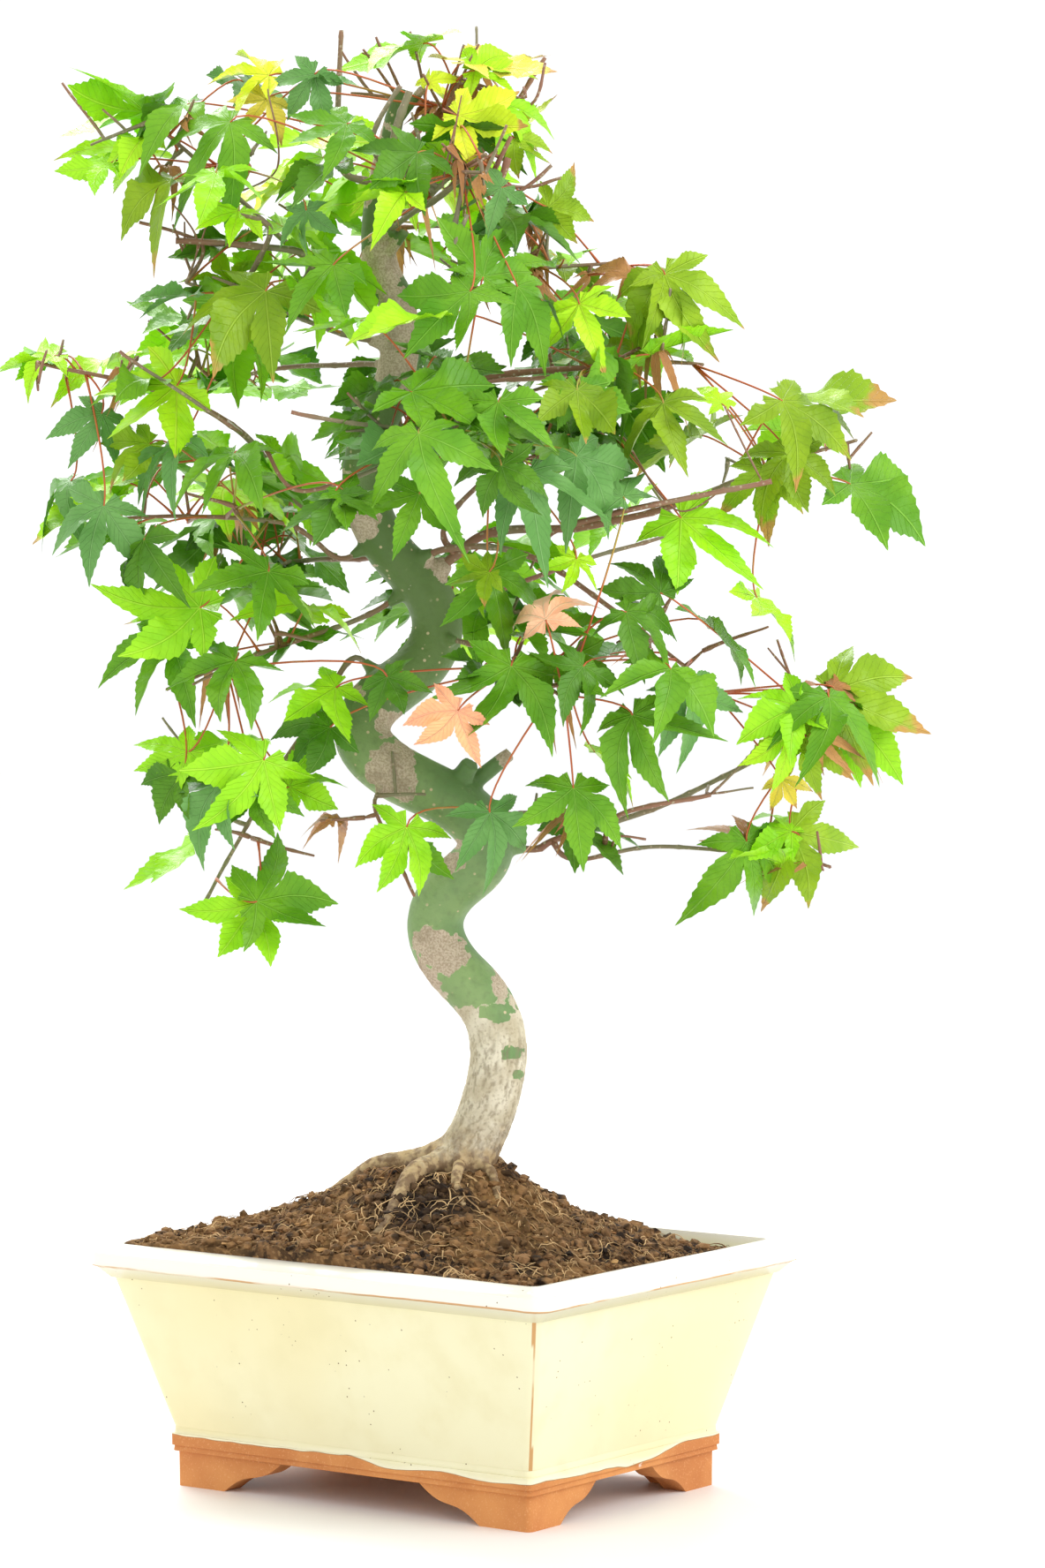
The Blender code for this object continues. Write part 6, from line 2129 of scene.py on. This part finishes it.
def patch_cover(point, wanted, wobble):
    """How far a place lies inside the front's patches of a kind, 1 for tan or -1 for green."""
    cover = 0.0
    for across, up, half_width, half_height, kind in BARK_PATCHES:
        if kind == wanted:
            off = math.hypot((point.x - across) / half_width, (point.z - up) / half_height)
            cover = max(cover, smoothstep(*PATCH_EDGE, off + wobble))
    return cover


def patch_amount(point, normal):
    """How tan the bark is at a place: named patches on the front, and patches by noise elsewhere."""
    wild = smoothstep(*WILD_PATCHES, clouds(point, 42.0, 4))
    front = smoothstep(*FRONT_FACING, normal.y)
    tan = wild * (1 - front) + WILD_ON_FRONT * wild * front
    wobble = clouds(point, 90.0, 2) * 0.55 + clouds(point, 380.0, 3) * 0.30
    tan = max(tan, patch_cover(point, 1, wobble) * front)
    back_ragged = BACK_RAGGED * (1 - front) * noise.noise(point * 70.0)
    ragged = BASE_RAGGED * noise.noise(point * 90.0) + back_ragged
    base = smoothstep(BASE_TOP, BASE_TOP - BASE_FADE, point.z + ragged)
    tan = min(max(tan, base), 1 - patch_cover(point, -1, wobble) * front)
    return tan, base


def bark_relief(point, normal, middle, along):
    """How far the bark stands out at a place, and how tan, base-like and fissured it is there."""
    amount, base = patch_amount(point, normal)
    around = point - middle
    stretched = Vector((around.x * CRACKS_ROUND, around.y * CRACKS_ROUND, point.z * CRACKS_UP))
    crack = 1 - abs(clouds(stretched, 1.0, 3)) * CRACK_SHARPNESS
    crack = smoothstep(*CRACK_EDGE, crack) * base * smoothstep(*CRACKS_END, point.z)
    ring = along % RING_SPACING / RING_SPACING
    ring_shape = math.exp(-(((ring - 0.5) * RING_SPACING / RING_WIDTH) ** 2))
    ring_swell = ring_shape * max(0.0, noise.noise(point * 80.0))
    height = SWELL * noise.noise(point * 60.0) + GRAIN * clouds(point, 420.0, 3) * amount
    height = height - CRACK_DEPTH * crack + RING_SWELL * ring_swell - PATCH_DEPTH * amount * (1 - base)
    tan = max(amount, RING_TAN * smoothstep(0.25, 0.6, ring_swell))
    return height, tan, base, crack


def make_bark(limbs):
    """The trunk's skin with its relief: smooth green bark, rough patches, fissures and scar rings."""
    mesh = bark_body(limbs)
    path = resample(trunk_path(FINE_TRUNK_STEPS), RING_STEP)
    tree = KDTree(len(path))
    for index, point in enumerate(path):
        tree.insert(point, index)
    tree.balance()
    relief = []
    for vertex in mesh.vertices:
        _, index, _ = tree.find(vertex.co)
        relief.append(bark_relief(vertex.co, vertex.normal, path[index], index * RING_STEP))
    heights, *shares = zip(*relief)
    moved = [vertex.co + vertex.normal * height for vertex, height in zip(mesh.vertices, heights)]
    for vertex, point in zip(mesh.vertices, moved):
        vertex.co = PLACE @ point
    for name, values in zip(("tan", "base", "fissure"), shares):
        keep_values(mesh, name, values)
    mesh.shade_smooth()
    new_piece("bark_trunk", mesh, bark_finish(), ["trunk"])


# Stage, light and camera

FLOOR_REACH, STUDIO_STRENGTH, LIT_PLACE = 6, 1.10, (0, 0, 0.28)
# Each light's name, place in the front view, size and power
LIGHTS = (
    ("key_light", (1.1, -0.7, 1.0), 0.9, 9.0),
    ("back_light", (-0.5, 1.0, 1.5), 1.0, 24.0),
)


def make_light(name, place, size, power):
    """A soft area light that faces the tree."""
    light = bpy.data.lights.new(name, "AREA")
    light.size = size
    light.energy = power
    lamp = new_object(name, light)
    lamp.location = PLACE @ Vector(place)
    aim = PLACE @ Vector(LIT_PLACE) - lamp.location
    lamp.rotation_euler = aim.to_track_quat("-Z", "Y").to_euler()


def make_stage():
    """A pale floor, light all round, a soft light from the right and a stronger one from behind."""
    corners = [Vector((x, y, 0)) * FLOOR_REACH for x, y in ((-1, -1), (1, -1), (1, 1), (-1, 1))]
    shape = Shape()
    shape.add(corners, [(0, 1, 2, 3)])
    floor = new_object("floor", shape.mesh("floor", Matrix.Identity(4), smooth=False))
    finish = Finish("floor", 0.45, 0.25)
    finish.colour(finish.mix(finish.noise(3.0), FLOOR_GREY, FLOOR_WHITE))
    floor.data.materials.append(finish.material)
    world = bpy.data.worlds.new("studio")
    bpy.context.scene.world = world
    world.use_nodes = True
    background = world.node_tree.nodes["Background"]
    background.inputs["Color"].default_value = (1.0, 1.0, 1.0, 1.0)
    background.inputs["Strength"].default_value = STUDIO_STRENGTH
    for light in LIGHTS:
        make_light(*light)


# The photograph's camera in the tree's front view, its lens in pixels of the whole photograph
CAMERA_PLACE = (0.0256, -1.8435, 0.337)
CAMERA_PITCH = 3.18
FOCAL_PIXELS, PHOTO_HEIGHT, SENSOR = 6300, 1776, 36.0


def make_camera():
    """The camera as the photograph has it, in the tree's front view."""
    camera = new_object("camera", bpy.data.cameras.new("camera"))
    camera.data.sensor_width = SENSOR
    camera.data.lens = SENSOR * FOCAL_PIXELS / PHOTO_HEIGHT
    turn = Matrix.Rotation(math.radians(90 - CAMERA_PITCH), 4, "X")
    camera.matrix_world = PLACE @ Matrix.Translation(CAMERA_PLACE) @ turn
    bpy.context.scene.camera = camera
    bpy.context.scene.view_settings.view_transform = "Standard"
    bpy.context.scene.view_settings.look = "None"


def main():
    # Unseeded, noise_vector gives other values in each run
    noise.seed_set(SEED)
    make_camera()
    make_stage()
    spaces = {mass.name: Space(mass, MASSES) for mass in MASSES}
    limbs = {}
    for mass in MASSES:
        limbs[mass.name] = plan_limb(mass, spaces[mass.name], limbs)
    limb_tree = limb_surface(limbs)
    growths = {}
    for index, mass in enumerate(MASSES):
        stem = limbs[mass.name].stem
        growths[mass.name] = grow_as_solid(mass, index, stem, spaces[mass.name], limb_tree)
    front = grow_front(growths)
    grow_finer(limbs, growths, front, spaces, limb_tree)
    clear_front(growths, front)
    make_pot()
    make_soil()
    make_bark(limbs)
    make_twigs(limbs, growths)
    make_leaves(growths, front)


main()
